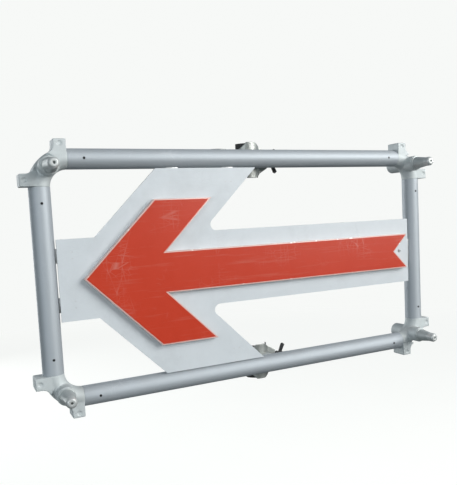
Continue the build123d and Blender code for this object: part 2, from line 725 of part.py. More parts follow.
# Latch: a lever on two ears under the box, stored open and hanging down
latch_y = box_back - 9.0
latch_z = -box_top - 7.0
latch_hook_y = lid_back + 0.8
latch_low = latch_z - LATCH_R
for side in (-1, 1):
    inner = BOX_X + side * (LATCH_W / 2 + LATCH_PLAY)
    outer = inner + side * LATCH_EAR_T
    low, high = min(inner, outer), max(inner, outer)
    ear = rod_x(latch_y, latch_z, low, high, LATCH_EAR_R)
    ear += block(low, high, latch_y - LATCH_EAR_R, latch_y + LATCH_EAR_R, latch_z, -box_top + 1.0)
    ear -= rod_x(latch_y, latch_z, low - 1, high + 1, LATCH_PIN_R + RUN)
    case += ear
latch_left = BOX_X - LATCH_W / 2
latch_right = BOX_X + LATCH_W / 2
lever = rod_x(latch_y, latch_z, latch_left, latch_right, LATCH_R)
lever += block(latch_left, latch_right, latch_y, latch_hook_y + LATCH_T, latch_low, latch_low + 3.0)
lever += block(latch_left, latch_right, latch_hook_y, latch_hook_y + LATCH_T, latch_low, -box_top + 5.0)
lever -= rod_x(latch_y, latch_z, BOX_X - LATCH_W, BOX_X + LATCH_W, LATCH_PIN_R + RUN)
latch_swing = Pos(0, latch_y, latch_z) * Rot(-LATCH_OPEN, 0, 0) * Pos(0, -latch_y, -latch_z)
parts["lid_latch"] = latch_swing * lever
parts["latch_pin"] = rod_x(latch_y, latch_z, latch_left - 4.5, latch_right + 4.5, LATCH_PIN_R)

# Four dry cells with their contacts
cells = []
cell_y = box_front + wall + CELL_R + 0.3
contacts = []
for level in (-1, 1):
    z = level * (CELL_R + 2.0)
    for i in range(2):
        x0 = cells_left + i * (CELL_LEN + 1.0)
        cap_x = x0 + CELL_LEN - CELL_CAP_T
        cell = rod_x(cell_y, z, x0, cap_x, CELL_R)
        cells.append(cell + rod_x(cell_y, z, cap_x, x0 + CELL_LEN, CELL_CAP_R))
        case += block(x0 + 8, x0 + 14, box_front + 1, cell_y, z - 6, z + 6) - rod_x(
            cell_y, z, x0, x0 + CELL_LEN, CELL_R + 0.1
        )
    plus_x = cells_left + 2 * CELL_LEN + 1.0
    contacts.append(block(plus_x + 0.1, box_right - wall - 0.1, cell_y - 8, cell_y + 8, z - 8, z + 8))
    spring = turned([(7.0, 0), (7.9, 0), (4.2, cells_left - rib_x - 1.3), (3.3, cells_left - rib_x - 1.3)])
    contacts.append(Pos(rib_x + 1.1, cell_y, z) * ALONG_X * spring)
parts["battery_cells"] = Compound(children=cells)
parts["battery_contacts"] = Compound(children=contacts)

# Control board on two posts
pcb_left = box_left + wall + 4.0
pcb_right = rib_x - 4.0
pcb_y = box_front + wall + PCB_RAISE
pcb_x = (pcb_left + pcb_right) / 2
for z in (-PCB_POST_Z, PCB_POST_Z):
    case += rod_y(pcb_x, z, box_front + 1, pcb_y - RUN, PCB_POST_R)
pcb = block(pcb_left, pcb_right, pcb_y, pcb_y + PCB_T, -PCB_HALF_H, PCB_HALF_H)
pcb += block(pcb_x - 6, pcb_x + 6, pcb_y + 1, pcb_y + 4.5, -8, 8)
pcb += block(pcb_left + 4, pcb_left + 12, pcb_y + 1, pcb_y + 8, 14, 28)
pcb += rod_y(pcb_x + 6, -20, pcb_y + 1, pcb_y + 12, 4.0)
parts["control_board"] = pcb

# Photo sensor in the left wall, switch in the right wall
sensor_y = (box_front + box_back) / 2
dome = Pos(0, 0, wall + 2) * Sphere(SENSOR_R - 0.6)
stem = rod_z(0, 0, -1.5, wall, SENSOR_R - 1.5)
collar = rod_z(0, 0, wall, wall + 2, SENSOR_R)
bezel = (stem + collar + (dome & rod_z(0, 0, wall + 2, wall + 9, SENSOR_R)))
case -= rod_x(sensor_y, 0, box_left - 1, box_left + wall + 1, SENSOR_R - 1.5 + FIX)
parts["photo_sensor"] = Pos(box_left + wall, sensor_y, 0) * Rot(0, -90, 0) * bezel

switch_y = sensor_y
switch_z = 0.0
bush = rod_x(switch_y, switch_z, box_right, box_right + BUSH_LEN, BUSH_R)
bush += rod_x(switch_y, switch_z, box_right, box_right + 2.0, BUSH_R + 2.5)
bush += rod_x(switch_y, switch_z, box_right - wall - 3.0, box_right, BUSH_R - 1.0)
bush -= rod_x(switch_y, switch_z, box_right + 1.5, box_right + BUSH_LEN + 1, BALL_R + 0.25)
case -= rod_x(switch_y, switch_z, box_right - wall - 1, box_right + 1, BUSH_R - 1.0 + FIX)
parts["switch_bush"] = bush
pivot_x = box_right + 1.5 + BALL_R + 0.3
bat = Sphere(BALL_R) + rod_z(0, 0, 0, LEVER_LEN - 3, 1.4)
bat += Pos(0, 0, LEVER_LEN - 8) * turned([(0, 0), (1.4, 0), (2.6, 6), (2.2, 8), (0, 8)])
parts["switch_lever"] = Pos(pivot_x, switch_y, switch_z) * Rot(0, 90 + SWITCH_TILT, 0) * bat

# Cable from the control board through the board into the tray, in its grommet
case_floor = box_front + wall
cable_hole = rod_y(cable_x, 0, -floor_front - 1, case_floor + 1, GROMMET_R + FIX)
board_plate -= cable_hole
sheet -= cable_hole
tray -= cable_hole
case -= cable_hole
grommet = rod_y(cable_x, 0, -floor_front, case_floor + 1.0, GROMMET_R)
grommet += rod_y(cable_x, 0, case_floor, case_floor + GROMMET_LIP, GROMMET_R + GROMMET_LIP)
grommet -= rod_y(cable_x, 0, -floor_front - 1, case_floor + GROMMET_LIP + 1, CABLE_R + RUN)
parts["cable_grommet"] = grommet
parts["led_cable"] = rod_y(cable_x, 0, -floor_front, pcb_y - RUN, CABLE_R)

# Four screws hold the box to the board from inside
box_screws = []
for x in (box_left + 10.0, box_right - wall - BOX_SCREW_HEAD_R - 0.6):
    for z in (-BOX_SCREW_Z, BOX_SCREW_Z):
        hole = rod_y(x, z, -BOARD_FRONT - 1, case_floor + 1, BOX_SCREW_R + FIX)
        board_plate -= hole
        case -= hole
        screw = rod_y(x, z, -BOARD_FRONT + 0.4, case_floor, BOX_SCREW_R)
        box_screws.append(screw + rod_y(x, z, case_floor, case_floor + BOX_SCREW_HEAD_T, BOX_SCREW_HEAD_R))
parts["box_screws"] = Compound(children=box_screws)
parts["battery_case"] = case
parts["battery_lid"] = lid
parts["board_plate"] = board_plate
parts["reflective_sheet"] = sheet
parts["arrow_tray"] = tray
parts["rail_brackets"] = Compound(children=rail_brackets)
parts["stile_brackets"] = Compound(children=stile_brackets)
parts["bracket_rivets"] = Compound(children=rivets)

# ---------------------------------------------------------------- pole clamps
# Built about the pole's axis: X right, Y back, with the rail in front
cover_in = POLE_R + COVER_PLAY
cover_out = cover_in + COVER_T


def half_ring(inner, outer, half_h, front, split):
    """Half of a ring about Z, in front of or behind a plane at the split distance."""
    ring = rod_z(0, 0, -half_h, half_h, outer) - rod_z(0, 0, -half_h - 1, half_h + 1, inner)
    far = outer + 1
    if front:
        return ring & block(-far, far, -far, -split, -half_h, half_h)
    return ring & block(-far, far, split, far, -half_h, half_h)


def tapered(reach_left, reach_right, tip, full):
    """The outline that a pressed half is trimmed to, seen from the front, as a deep block."""
    flat = 10.0
    right = [(reach_right, -tip), (reach_right, tip), (flat, full), (-flat, full)]
    left = [(-reach_left, tip), (-reach_left, -tip), (-flat, -full), (flat, -full)]
    return plate_xz(right + left, -2 * SADDLE_OUT, 4 * SADDLE_OUT)


def saddle():
    """The pressed half that stays on the rail, with a bolt ear and hinge cheeks."""
    body = half_ring(SADDLE_IN, SADDLE_OUT, SADDLE_HALF_H, True, SPLIT)
    ear_x = math.sqrt(SADDLE_IN ** 2 - EAR_FRONT ** 2)
    body += block(ear_x, EAR_REACH, -EAR_FRONT, -EAR_FRONT + SADDLE_T, -SADDLE_HALF_H, SADDLE_HALF_H)
    body -= rod_z(0, 0, -SADDLE_HALF_H - 1, SADDLE_HALF_H + 1, SADDLE_IN)
    body = body & tapered(SADDLE_OUT + 1, EAR_REACH, EAR_TIP_HALF_H, SADDLE_HALF_H)
    for side in (-1, 1):
        inner = side * (EYE_HALF + CHEEK_GAP)
        outer = inner + side * CHEEK_T
        low, high = min(inner, outer), max(inner, outer)
        cheek = rod_z(BOLT_AT, 0, low, high, KNUCKLE_R)
        cheek += block(BOLT_AT - KNUCKLE_R, BOLT_AT + KNUCKLE_R, -EAR_FRONT + 1, 0, low, high)
        body += cheek - rod_z(BOLT_AT, 0, low - 1, high + 1, BOLT_PIN_R + RUN)
        inner = side * (KNUCKLE_HALF + CHEEK_GAP)
        outer = inner + side * CHEEK_T
        low, high = min(inner, outer), max(inner, outer)
        cheek = rod_z(HINGE_AT[0], HINGE_AT[1], low, high, KNUCKLE_R)
        cheek += block(HINGE_AT[0], -SADDLE_IN - 0.5, HINGE_AT[1] - KNUCKLE_R, -SPLIT, low, high)
        body += cheek - rod_z(HINGE_AT[0], HINGE_AT[1], low - 1, high + 1, COVER_PIN_R + RUN)
    body -= rod_y(0, 0, -SADDLE_IN - 2.5, -SADDLE_IN + 3, CLAMP_HEAD_R + FIX)
    return body - rod_y(0, 0, -SADDLE_OUT - 1, 0, CLAMP_BOLT_R + FIX)


def cover_shell():
    """The pressed half that swings, in its closed place."""
    body = half_ring(cover_in, cover_out, COVER_HALF_H, False, SPLIT)
    start = math.sqrt(cover_in ** 2 - COVER_EAR_Y ** 2)
    ear_back = COVER_EAR_Y + COVER_EAR_T
    ear = block(start, COVER_EAR_REACH, COVER_EAR_Y, ear_back, -COVER_EAR_HALF_H, COVER_EAR_HALF_H)
    slot = BOLT_R + BOLT_SLOT_PLAY
    ear -= rod_y(BOLT_AT, 0, COVER_EAR_Y - 1, ear_back + 1, slot)
    ear -= block(BOLT_AT, COVER_EAR_REACH + 1, COVER_EAR_Y - 1, ear_back + 1, -slot, slot)
    body += ear - rod_z(0, 0, -COVER_HALF_H, COVER_HALF_H, cover_in)
    x, y = HINGE_AT
    arm = rod_z(x, y, -KNUCKLE_HALF, KNUCKLE_HALF, KNUCKLE_R)
    arm += block(x, -cover_in - 0.5, SPLIT + 0.5, SPLIT + 0.5 + CHEEK_T, -KNUCKLE_HALF, KNUCKLE_HALF)
    arm += block(x - KNUCKLE_R, x, y, SPLIT + 0.5 + CHEEK_T, -KNUCKLE_HALF, KNUCKLE_HALF)
    body += arm
    return body - rod_z(x, y, -KNUCKLE_HALF - 1, KNUCKLE_HALF + 1, COVER_PIN_R + RUN)


def headed_pin(x, y, half_len, radius, head_r):
    """A pin along Z with a flat head at each end."""
    pin = rod_z(x, y, -half_len, half_len, radius)
    pin += rod_z(x, y, half_len, half_len + PIN_END_T, head_r)
    return pin + rod_z(x, y, -half_len - PIN_END_T, -half_len, head_r)


def swing_bolt():
    """An eye bolt, stored open and pointing to +X."""
    body = rod_z(BOLT_AT, 0, -EYE_HALF, EYE_HALF, EYE_R)
    body += rod_x(0, 0, BOLT_AT, BOLT_AT + BOLT_LEN, BOLT_R) & block(
        BOLT_AT, BOLT_AT + BOLT_LEN, -BOLT_R, BOLT_R, -BOLT_R, BOLT_R
    )
    return body - rod_z(BOLT_AT, 0, -EYE_HALF - 1, EYE_HALF + 1, BOLT_PIN_R + RUN)


def wing_nut():
    """A wing nut on the swing bolt, its wings up and down."""
    start = BOLT_AT + NUT_AT
    end = start + NUT_H
    body = rod_x(0, 0, start, start + 2.5, BOLT_R + 4.5)
    body += rod_x(0, 0, start, end, BOLT_R + 2.8)
    for side in (-1, 1):
        wing = [
            (start + 4.0, side * BOLT_R),
            (start + 8.0, side * (WING_R - 12.0)),
            (start + 12.0, side * (WING_R - 2.0)),
            (start + 16.0, side * WING_R),
            (start + 21.0, side * (WING_R - 4.0)),
            (end, side * (BOLT_R + 4.0)),
            (end, side * BOLT_R),
        ]
        body += plate_xz(wing, -WING_T / 2, WING_T)
    return body - rod_x(0, 0, start - 1, start + 26, BOLT_R + RUN)


rail_y = -CLAMP_Y        # the rail's axis, seen from the pole's


def spacer_seat():
    """A cast spacer that cups the rail in front and the saddle behind."""
    front = rail_y + 0.6 * TUBE_R
    back = -SADDLE_OUT + SEAT_HORN
    body = block(-SEAT_HALF_W, SEAT_HALF_W, front, back, -SEAT_HALF_H, SEAT_HALF_H)
    body -= rod_x(rail_y, 0, -SEAT_HALF_W - 1, SEAT_HALF_W + 1, TUBE_R + RUN)
    body -= rod_z(0, 0, -SEAT_HALF_H - 1, SEAT_HALF_H + 1, SADDLE_OUT + RUN)
    return body - rod_y(0, 0, front - 1, 0, CLAMP_BOLT_R + FIX)


def clamp_bolt():
    """The bolt through saddle, spacer and rail wall, and its nut inside the rail."""
    nut_back = rail_y + math.sqrt(TUBE_INNER_R ** 2 - CLAMP_NUT_R ** 2) - RUN
    head_back = -SADDLE_IN - 0.1
    neck = head_back - CLAMP_HEAD_T
    bolt = rod_y(0, 0, neck, head_back, CLAMP_HEAD_R)
    bolt += rod_y(0, 0, nut_back - CLAMP_NUT_T - 1.0, neck, CLAMP_BOLT_R)
    nut = rod_y(0, 0, nut_back - CLAMP_NUT_T, nut_back, CLAMP_NUT_R)
    nut -= rod_y(0, 0, nut_back - CLAMP_NUT_T - 1.0, nut_back + 1, CLAMP_BOLT_R + RUN)
    return Compound(children=[bolt, nut])


liner = half_ring(POLE_R, SADDLE_IN - RUN, SADDLE_HALF_H - 2.0, True, SPLIT + 2.0)
cover_swing = Pos(*HINGE_AT) * Rot(0, 0, COVER_OPEN) * Pos(-HINGE_AT[0], -HINGE_AT[1])
cheeks_half = KNUCKLE_HALF + CHEEK_GAP + CHEEK_T
bolt_cheeks_half = EYE_HALF + CHEEK_GAP + CHEEK_T
for name, level in (("upper", 1), ("lower", -1)):
    place = Pos(CLAMP_X, CLAMP_Y, level * HALF_H)
    parts[name + "_clamp_seat"] = place * spacer_seat()
    parts[name + "_clamp_saddle"] = place * saddle()
    parts[name + "_clamp_liner"] = place * liner
    parts[name + "_clamp_bolt"] = place * clamp_bolt()
    parts[name + "_cover"] = place * cover_swing * cover_shell()
    pin = headed_pin(*HINGE_AT, cheeks_half, COVER_PIN_R, COVER_PIN_R + PIN_END_LIP)
    parts[name + "_cover_pin"] = place * pin
    parts[name + "_swing_bolt"] = place * swing_bolt()
    pin = headed_pin(BOLT_AT, 0, bolt_cheeks_half, BOLT_PIN_R, BOLT_PIN_R + PIN_END_LIP)
    parts[name + "_bolt_pin"] = place * pin
    parts[name + "_wing_nut"] = place * wing_nut()
    rail_name = "rail_top" if level > 0 else "rail_bottom"
    hole = place * rod_y(0, 0, rail_y + 5, 0, CLAMP_BOLT_R + FIX)
    parts[rail_name] = parts[rail_name] - hole

# ---------------------------------------------------------------- files
os.makedirs("parts", exist_ok=True)
shift = Pos(-ORIGIN[0], -ORIGIN[1], -ORIGIN[2])
for node, solid in parts.items():
    export_step(shift * solid, f"parts/{node}.step")
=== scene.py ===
import bpy
import bmesh
import math
import numpy as np
from mathutils import Matrix, Vector


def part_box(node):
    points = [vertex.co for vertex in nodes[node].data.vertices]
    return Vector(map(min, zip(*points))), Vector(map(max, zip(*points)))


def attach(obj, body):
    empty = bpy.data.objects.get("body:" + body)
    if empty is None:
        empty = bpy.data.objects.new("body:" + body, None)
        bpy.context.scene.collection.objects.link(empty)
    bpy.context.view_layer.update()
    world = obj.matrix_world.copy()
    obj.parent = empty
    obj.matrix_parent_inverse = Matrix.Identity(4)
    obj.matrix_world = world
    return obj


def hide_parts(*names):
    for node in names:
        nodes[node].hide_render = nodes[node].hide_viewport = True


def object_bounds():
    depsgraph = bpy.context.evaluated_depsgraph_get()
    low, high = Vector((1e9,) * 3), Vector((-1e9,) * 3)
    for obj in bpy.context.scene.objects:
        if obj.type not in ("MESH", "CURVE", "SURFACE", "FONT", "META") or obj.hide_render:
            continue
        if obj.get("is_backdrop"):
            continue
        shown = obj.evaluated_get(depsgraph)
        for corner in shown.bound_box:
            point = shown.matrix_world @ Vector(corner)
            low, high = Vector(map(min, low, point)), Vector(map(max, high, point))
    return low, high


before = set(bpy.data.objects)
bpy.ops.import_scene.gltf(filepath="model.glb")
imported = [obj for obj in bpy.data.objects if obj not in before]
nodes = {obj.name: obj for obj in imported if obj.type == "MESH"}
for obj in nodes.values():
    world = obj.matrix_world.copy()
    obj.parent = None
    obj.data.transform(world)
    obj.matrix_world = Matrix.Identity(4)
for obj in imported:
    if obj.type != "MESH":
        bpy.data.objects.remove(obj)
cad_low, cad_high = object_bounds()


# ---------------------------------------------------------------- floor, daylight and camera
# The stage: a wide pale floor well below the arrow board, which hangs from its pole clamps, under
# soft daylight from the upper right. The floor runs out into the white of the sky.
FLOOR_DROP = 0.60
FLOOR_HALF = 60.0
FLOOR_GRAIN = 2.5        # size of its unevenness, as a noise's scale
FLOOR_DULLEST = 0.975    # tone of its duller patches
FLOOR_WHITE = (0.50, 0.495, 0.48)
FLOOR_BOUNCE = (0.13, 0.14, 0.14, 1.0)
FLOOR_GLOW = (0.66, 0.67, 0.655, 1.0)
BLACK = (0.0, 0.0, 0.0, 1.0)
FADE_FROM, FADE_TO = 0.8, 4.6  # distances at which the floor starts to fade, and is white
SKY_WHITE = (0.93, 0.945, 0.93, 1.0)
SKY_STOPS = (            # height, from straight down to straight up, and colour
    (0.38, (0.05, 0.055, 0.055, 1.0)),
    (0.50, (0.30, 0.33, 0.34, 1.0)),
    (0.62, (0.44, 0.49, 0.52, 1.0)),
    (0.80, (0.24, 0.27, 0.30, 1.0)),
)
SKY_LEFT, SKY_RIGHT = 0.45, 1.20
LIGHTS = (               # name, place, size, power, colour
    ("key", (3.1, -3.7, 2.2), 3.8, 236.0, (1.0, 0.985, 0.96)),
    ("fill", (-2.6, -2.4, 0.6), 2.6, 34.0, (0.90, 0.96, 1.0)),
    ("back", (-1.4, 3.0, 0.5), 2.6, 42.0, (0.97, 0.99, 1.0)),
)
CAMERA_AT = Vector((-0.6025, -1.1479, 0.3178))
CAMERA_YAW, CAMERA_PITCH, CAMERA_ROLL = -26.19, -4.83, 2.89
LENS = 43.67
SHIFT_X, SHIFT_Y = -0.0138, 0.0507


def add_node(tree, kind, inputs=None, **settings):
    """A node with its settings and its inputs, which are values or other nodes' outputs."""
    node = tree.nodes.new(kind)
    for name, value in settings.items():
        setattr(node, name, value)
    for key, value in (inputs or {}).items():
        if isinstance(value, bpy.types.NodeSocket):
            tree.links.new(value, node.inputs[key])
        else:
            node.inputs[key].default_value = value
    return node


def new_material(name):
    """A material with nothing but its output and a Principled shader."""
    material = bpy.data.materials.new(name)
    material.use_nodes = True
    return material, material.node_tree, material.node_tree.nodes["Principled BSDF"]


def mixed(tree, share, first, second):
    """The colour between the first and the second, by share."""
    inputs = {0: share, 6: first, 7: second}
    return add_node(tree, "ShaderNodeMix", inputs, data_type="RGBA").outputs[2]


def ranged(tree, value, low, high, to_low=0.0, to_high=1.0):
    """The value moved from one range to another, and kept inside it."""
    inputs = {"Value": value, "From Min": low, "From Max": high}
    inputs.update({"To Min": to_low, "To Max": to_high})
    return add_node(tree, "ShaderNodeMapRange", inputs).outputs[0]


def sums(tree, operation, first, second=0.0):
    """One step of arithmetic."""
    return add_node(tree, "ShaderNodeMath", {0: first, 1: second}, operation=operation).outputs[0]


def times(tree, first, second):
    """The product of two values."""
    return sums(tree, "MULTIPLY", first, second)


def vectors(tree, operation, first, second=None):
    """One step of arithmetic on vectors, as its node."""
    inputs = {0: first} if second is None else {0: first, 1: second}
    return add_node(tree, "ShaderNodeVectorMath", inputs, operation=operation)


def scaled(tree, vector, share):
    """The vector, or colour, times a value."""
    inputs = {0: vector, 3: share}
    return add_node(tree, "ShaderNodeVectorMath", inputs, operation="SCALE").outputs[0]


def axis_of(tree, vector, axis):
    """The X, Y or Z of a vector."""
    return add_node(tree, "ShaderNodeSeparateXYZ", {0: vector}).outputs[axis]


def noise(tree, position, scale, detail=2.0, roughness=0.5):
    """A noise of this scale, from 0 to 1."""
    inputs = {"Vector": position, "Scale": scale, "Detail": detail, "Roughness": roughness}
    return add_node(tree, "ShaderNodeTexNoise", inputs).outputs["Fac"]


floor_material, tree, shader = new_material("pale_floor")
place = add_node(tree, "ShaderNodeTexCoord").outputs["Object"]
tone = ranged(tree, noise(tree, place, FLOOR_GRAIN, 6.0), 0.3, 0.7, FLOOR_DULLEST, 1.0)
flat = vectors(tree, "MULTIPLY", place, (1.0, 1.0, 0.0)).outputs[0]
away = vectors(tree, "LENGTH", flat).outputs["Value"]
fade = ranged(tree, away, FADE_FROM, FADE_TO)
seen = add_node(tree, "ShaderNodeLightPath").outputs["Is Camera Ray"]
near = mixed(tree, fade, scaled(tree, FLOOR_WHITE, tone), BLACK)
tree.links.new(mixed(tree, seen, FLOOR_BOUNCE, near), shader.inputs["Base Color"])
glow = mixed(tree, fade, FLOOR_GLOW, SKY_WHITE)
tree.links.new(mixed(tree, seen, BLACK, glow), shader.inputs["Emission Color"])
shader.inputs["Emission Strength"].default_value = 1.0
shader.inputs["Roughness"].default_value = 0.9
shader.inputs["Specular IOR Level"].default_value = 0.0

floor_z = cad_low.z - FLOOR_DROP
edge = [(x * FLOOR_HALF, y * FLOOR_HALF, floor_z) for x, y in ((-1, -1), (1, -1), (1, 1), (-1, 1))]
floor_mesh = bpy.data.meshes.new("floor")
floor_mesh.from_pydata(edge, [], [(0, 1, 2, 3)])
floor_mesh.materials.append(floor_material)
floor = bpy.data.objects.new("floor", floor_mesh)
bpy.context.scene.collection.objects.link(floor)
floor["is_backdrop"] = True

world = bpy.data.worlds.new("daylight")
bpy.context.scene.world = world
world.use_nodes = True
tree = world.node_tree
way = add_node(tree, "ShaderNodeTexCoord").outputs["Generated"]
height = ranged(tree, axis_of(tree, way, "Z"), -1.0, 1.0)
sky = add_node(tree, "ShaderNodeValToRGB", {"Fac": height})
stops = sky.color_ramp.elements
while len(stops) < len(SKY_STOPS):
    stops.new(0.5)
for stop, (position, colour) in zip(stops, SKY_STOPS):
    stop.position = position
    stop.color = colour
side = ranged(tree, axis_of(tree, way, "X"), -1.0, 1.0, SKY_LEFT, SKY_RIGHT)
sided = scaled(tree, sky.outputs["Color"], side)
seen = add_node(tree, "ShaderNodeLightPath").outputs["Is Camera Ray"]
tree.links.new(mixed(tree, seen, sided, SKY_WHITE), tree.nodes["Background"].inputs["Color"])

middle = (cad_low + cad_high) / 2
for name, spot, size, power, colour in LIGHTS:
    lamp = bpy.data.lights.new(name, "AREA")
    lamp.shape = "DISK"
    lamp.size = size
    lamp.energy = power
    lamp.color = colour
    holder = bpy.data.objects.new(name, lamp)
    bpy.context.scene.collection.objects.link(holder)
    holder.location = spot
    holder.rotation_mode = "QUATERNION"
    holder.rotation_quaternion = (middle - Vector(spot)).to_track_quat("-Z", "Y")

camera = bpy.data.objects.new("camera", bpy.data.cameras.new("camera"))
bpy.context.scene.collection.objects.link(camera)
bpy.context.scene.camera = camera
turn = Matrix.Identity(4)
for degrees, axis in ((CAMERA_YAW, "Z"), (CAMERA_PITCH, "X"), (CAMERA_ROLL, "Y"), (90.0, "X")):
    turn = turn @ Matrix.Rotation(math.radians(degrees), 4, axis)
camera.matrix_world = Matrix.Translation(CAMERA_AT) @ turn
camera.data.lens = LENS
camera.data.shift_x = SHIFT_X
camera.data.shift_y = SHIFT_Y
bpy.context.scene.view_settings.view_transform = "Standard"


# ---------------------------------------------------------------- rails and stiles
# Four straight lengths of drawn aluminium tube, satin anodised. Drawing leaves faint lines along
# each tube, and stacking the boards leaves scuffs; dust lies along the upper side.
TUBE_COLOUR = (0.51, 0.553, 0.588)
TUBE_ROUGH = 0.62
TUBE_METAL = 0.50
TUBE_LINES = 260.0       # stretch of the drawn lines round the tube
TUBE_RUN = 3.0           # and along it
DRAWN_FINE = 4.0         # fineness of a grain that is stretched into lines
SCUFF_WHITE = (0.78, 0.80, 0.82)
DUST_COLOUR = (0.36, 0.34, 0.31)
BROAD_SHARE = 0.045      # scale of the broad unevenness, as a share of the fine one's
SCRATCHES = (            # how each layer of scratches is turned, and its scale along x, y and z
    (0.6, (7.0, 60.0, 60.0)),
    (-0.9, (60.0, 9.0, 70.0)),
    (2.1, (50.0, 50.0, 6.0)),
)
SCRATCH_WIDTH = 0.018
SCUFF_PATCHES, EDGE_CHIPS, DUST_BLOTCHES = 14.0, 160.0, 35.0
BUMP_DEPTH = 0.0004
SCUFF_DEPTH = 0.6        # a scuff's depth, as a share of the grain's
SCUFF_MATT, DUST_MATT = 0.15, 0.25  # what full scuffs and dust add to the roughness


def new_group(name, inputs, outputs):
    """A new shader node group with (name, kind, value) inputs and (name, kind) outputs.

    It is given with the sockets that its inside reads from, and those that it writes to.
    """
    group = bpy.data.node_groups.new(name, "ShaderNodeTree")
    for label, kind, value in inputs:
        socket = group.interface.new_socket(label, in_out="INPUT", socket_type=kind)
        if value is not None:
            socket.default_value = value
    for label, kind in outputs:
        group.interface.new_socket(label, in_out="OUTPUT", socket_type=kind)
    ask = group.nodes.new("NodeGroupInput").outputs
    give = group.nodes.new("NodeGroupOutput").inputs
    return group, ask, give


FLOAT, VECTOR = "NodeSocketFloat", "NodeSocketVector"

# Grain: a fine and a broad unevenness, for colour and gloss, and a fine height for bump
wanted = (("Position", VECTOR, None), ("Fineness", FLOAT, 400.0))
tree, ask, give = new_group("grain", wanted, (("Tone", FLOAT), ("Broad", FLOAT), ("Height", FLOAT)))
fine = noise(tree, ask["Position"], ask["Fineness"], 4.0, 0.6)
broad = noise(tree, ask["Position"], times(tree, ask["Fineness"], BROAD_SHARE), 5.0, 0.55)
both = sums(tree, "ADD", times(tree, fine, 0.45), times(tree, broad, 0.55))
tree.links.new(ranged(tree, both, 0.32, 0.68), give["Tone"])
tree.links.new(ranged(tree, broad, 0.35, 0.65), give["Broad"])
tree.links.new(fine, give["Height"])
grain_group = tree

# Scuffs: short thin scratches in a few ways, gathered in patches
wanted = (("Position", VECTOR, None), ("Amount", FLOAT, 0.3))
tree, ask, give = new_group("scuffs", wanted, (("Mask", FLOAT),))
lines = 0.0
for turned, scale in SCRATCHES:
    laid = {"Vector": ask["Position"], "Rotation": (turned, turned * 0.7, turned), "Scale": scale}
    laid = add_node(tree, "ShaderNodeMapping", laid).outputs[0]
    cells = {"Vector": laid, "Scale": 1.0}
    cells = add_node(tree, "ShaderNodeTexVoronoi", cells, feature="DISTANCE_TO_EDGE")
    layer = ranged(tree, cells.outputs["Distance"], 0.0, SCRATCH_WIDTH, 1.0, 0.0)
    lines = sums(tree, "MAXIMUM", layer, lines)
sparse = ranged(tree, noise(tree, ask["Position"], SCUFF_PATCHES, 5.0), 0.52, 0.70)
tree.links.new(times(tree, times(tree, lines, sparse), ask["Amount"]), give["Mask"])
scuff_group = tree

# Worn edges: where a rounded normal differs from the true one, broken up by noise
wanted = (("Position", VECTOR, None), ("Width", FLOAT, 0.001), ("Amount", FLOAT, 0.5))
tree, ask, give = new_group("worn_edges", wanted, (("Mask", FLOAT),))
soft = add_node(tree, "ShaderNodeBevel", {"Radius": ask["Width"]}, samples=4).outputs[0]
true = add_node(tree, "ShaderNodeNewGeometry").outputs["Normal"]
edge = ranged(tree, vectors(tree, "DOT_PRODUCT", soft, true).outputs["Value"], 0.97, 0.75)
broken = ranged(tree, noise(tree, ask["Position"], EDGE_CHIPS, 4.0), 0.40, 0.62)
tree.links.new(times(tree, times(tree, edge, broken), ask["Amount"]), give["Mask"])
edge_group = tree

# Dust: settled on what faces up, in soft blotches
wanted = (("Position", VECTOR, None), ("Amount", FLOAT, 0.3))
tree, ask, give = new_group("dust", wanted, (("Mask", FLOAT),))
facing = axis_of(tree, add_node(tree, "ShaderNodeNewGeometry").outputs["Normal"], "Z")
blotch = ranged(tree, noise(tree, ask["Position"], DUST_BLOTCHES, 7.0, 0.7), 0.3, 0.7)
settled = times(tree, ranged(tree, facing, 0.1, 0.95), blotch)
tree.links.new(times(tree, settled, ask["Amount"]), give["Mask"])
dust_group = tree


def use_group(tree, group, inputs):
    """A group placed in a material, as its outputs."""
    return add_node(tree, "ShaderNodeGroup", inputs, node_tree=group).outputs


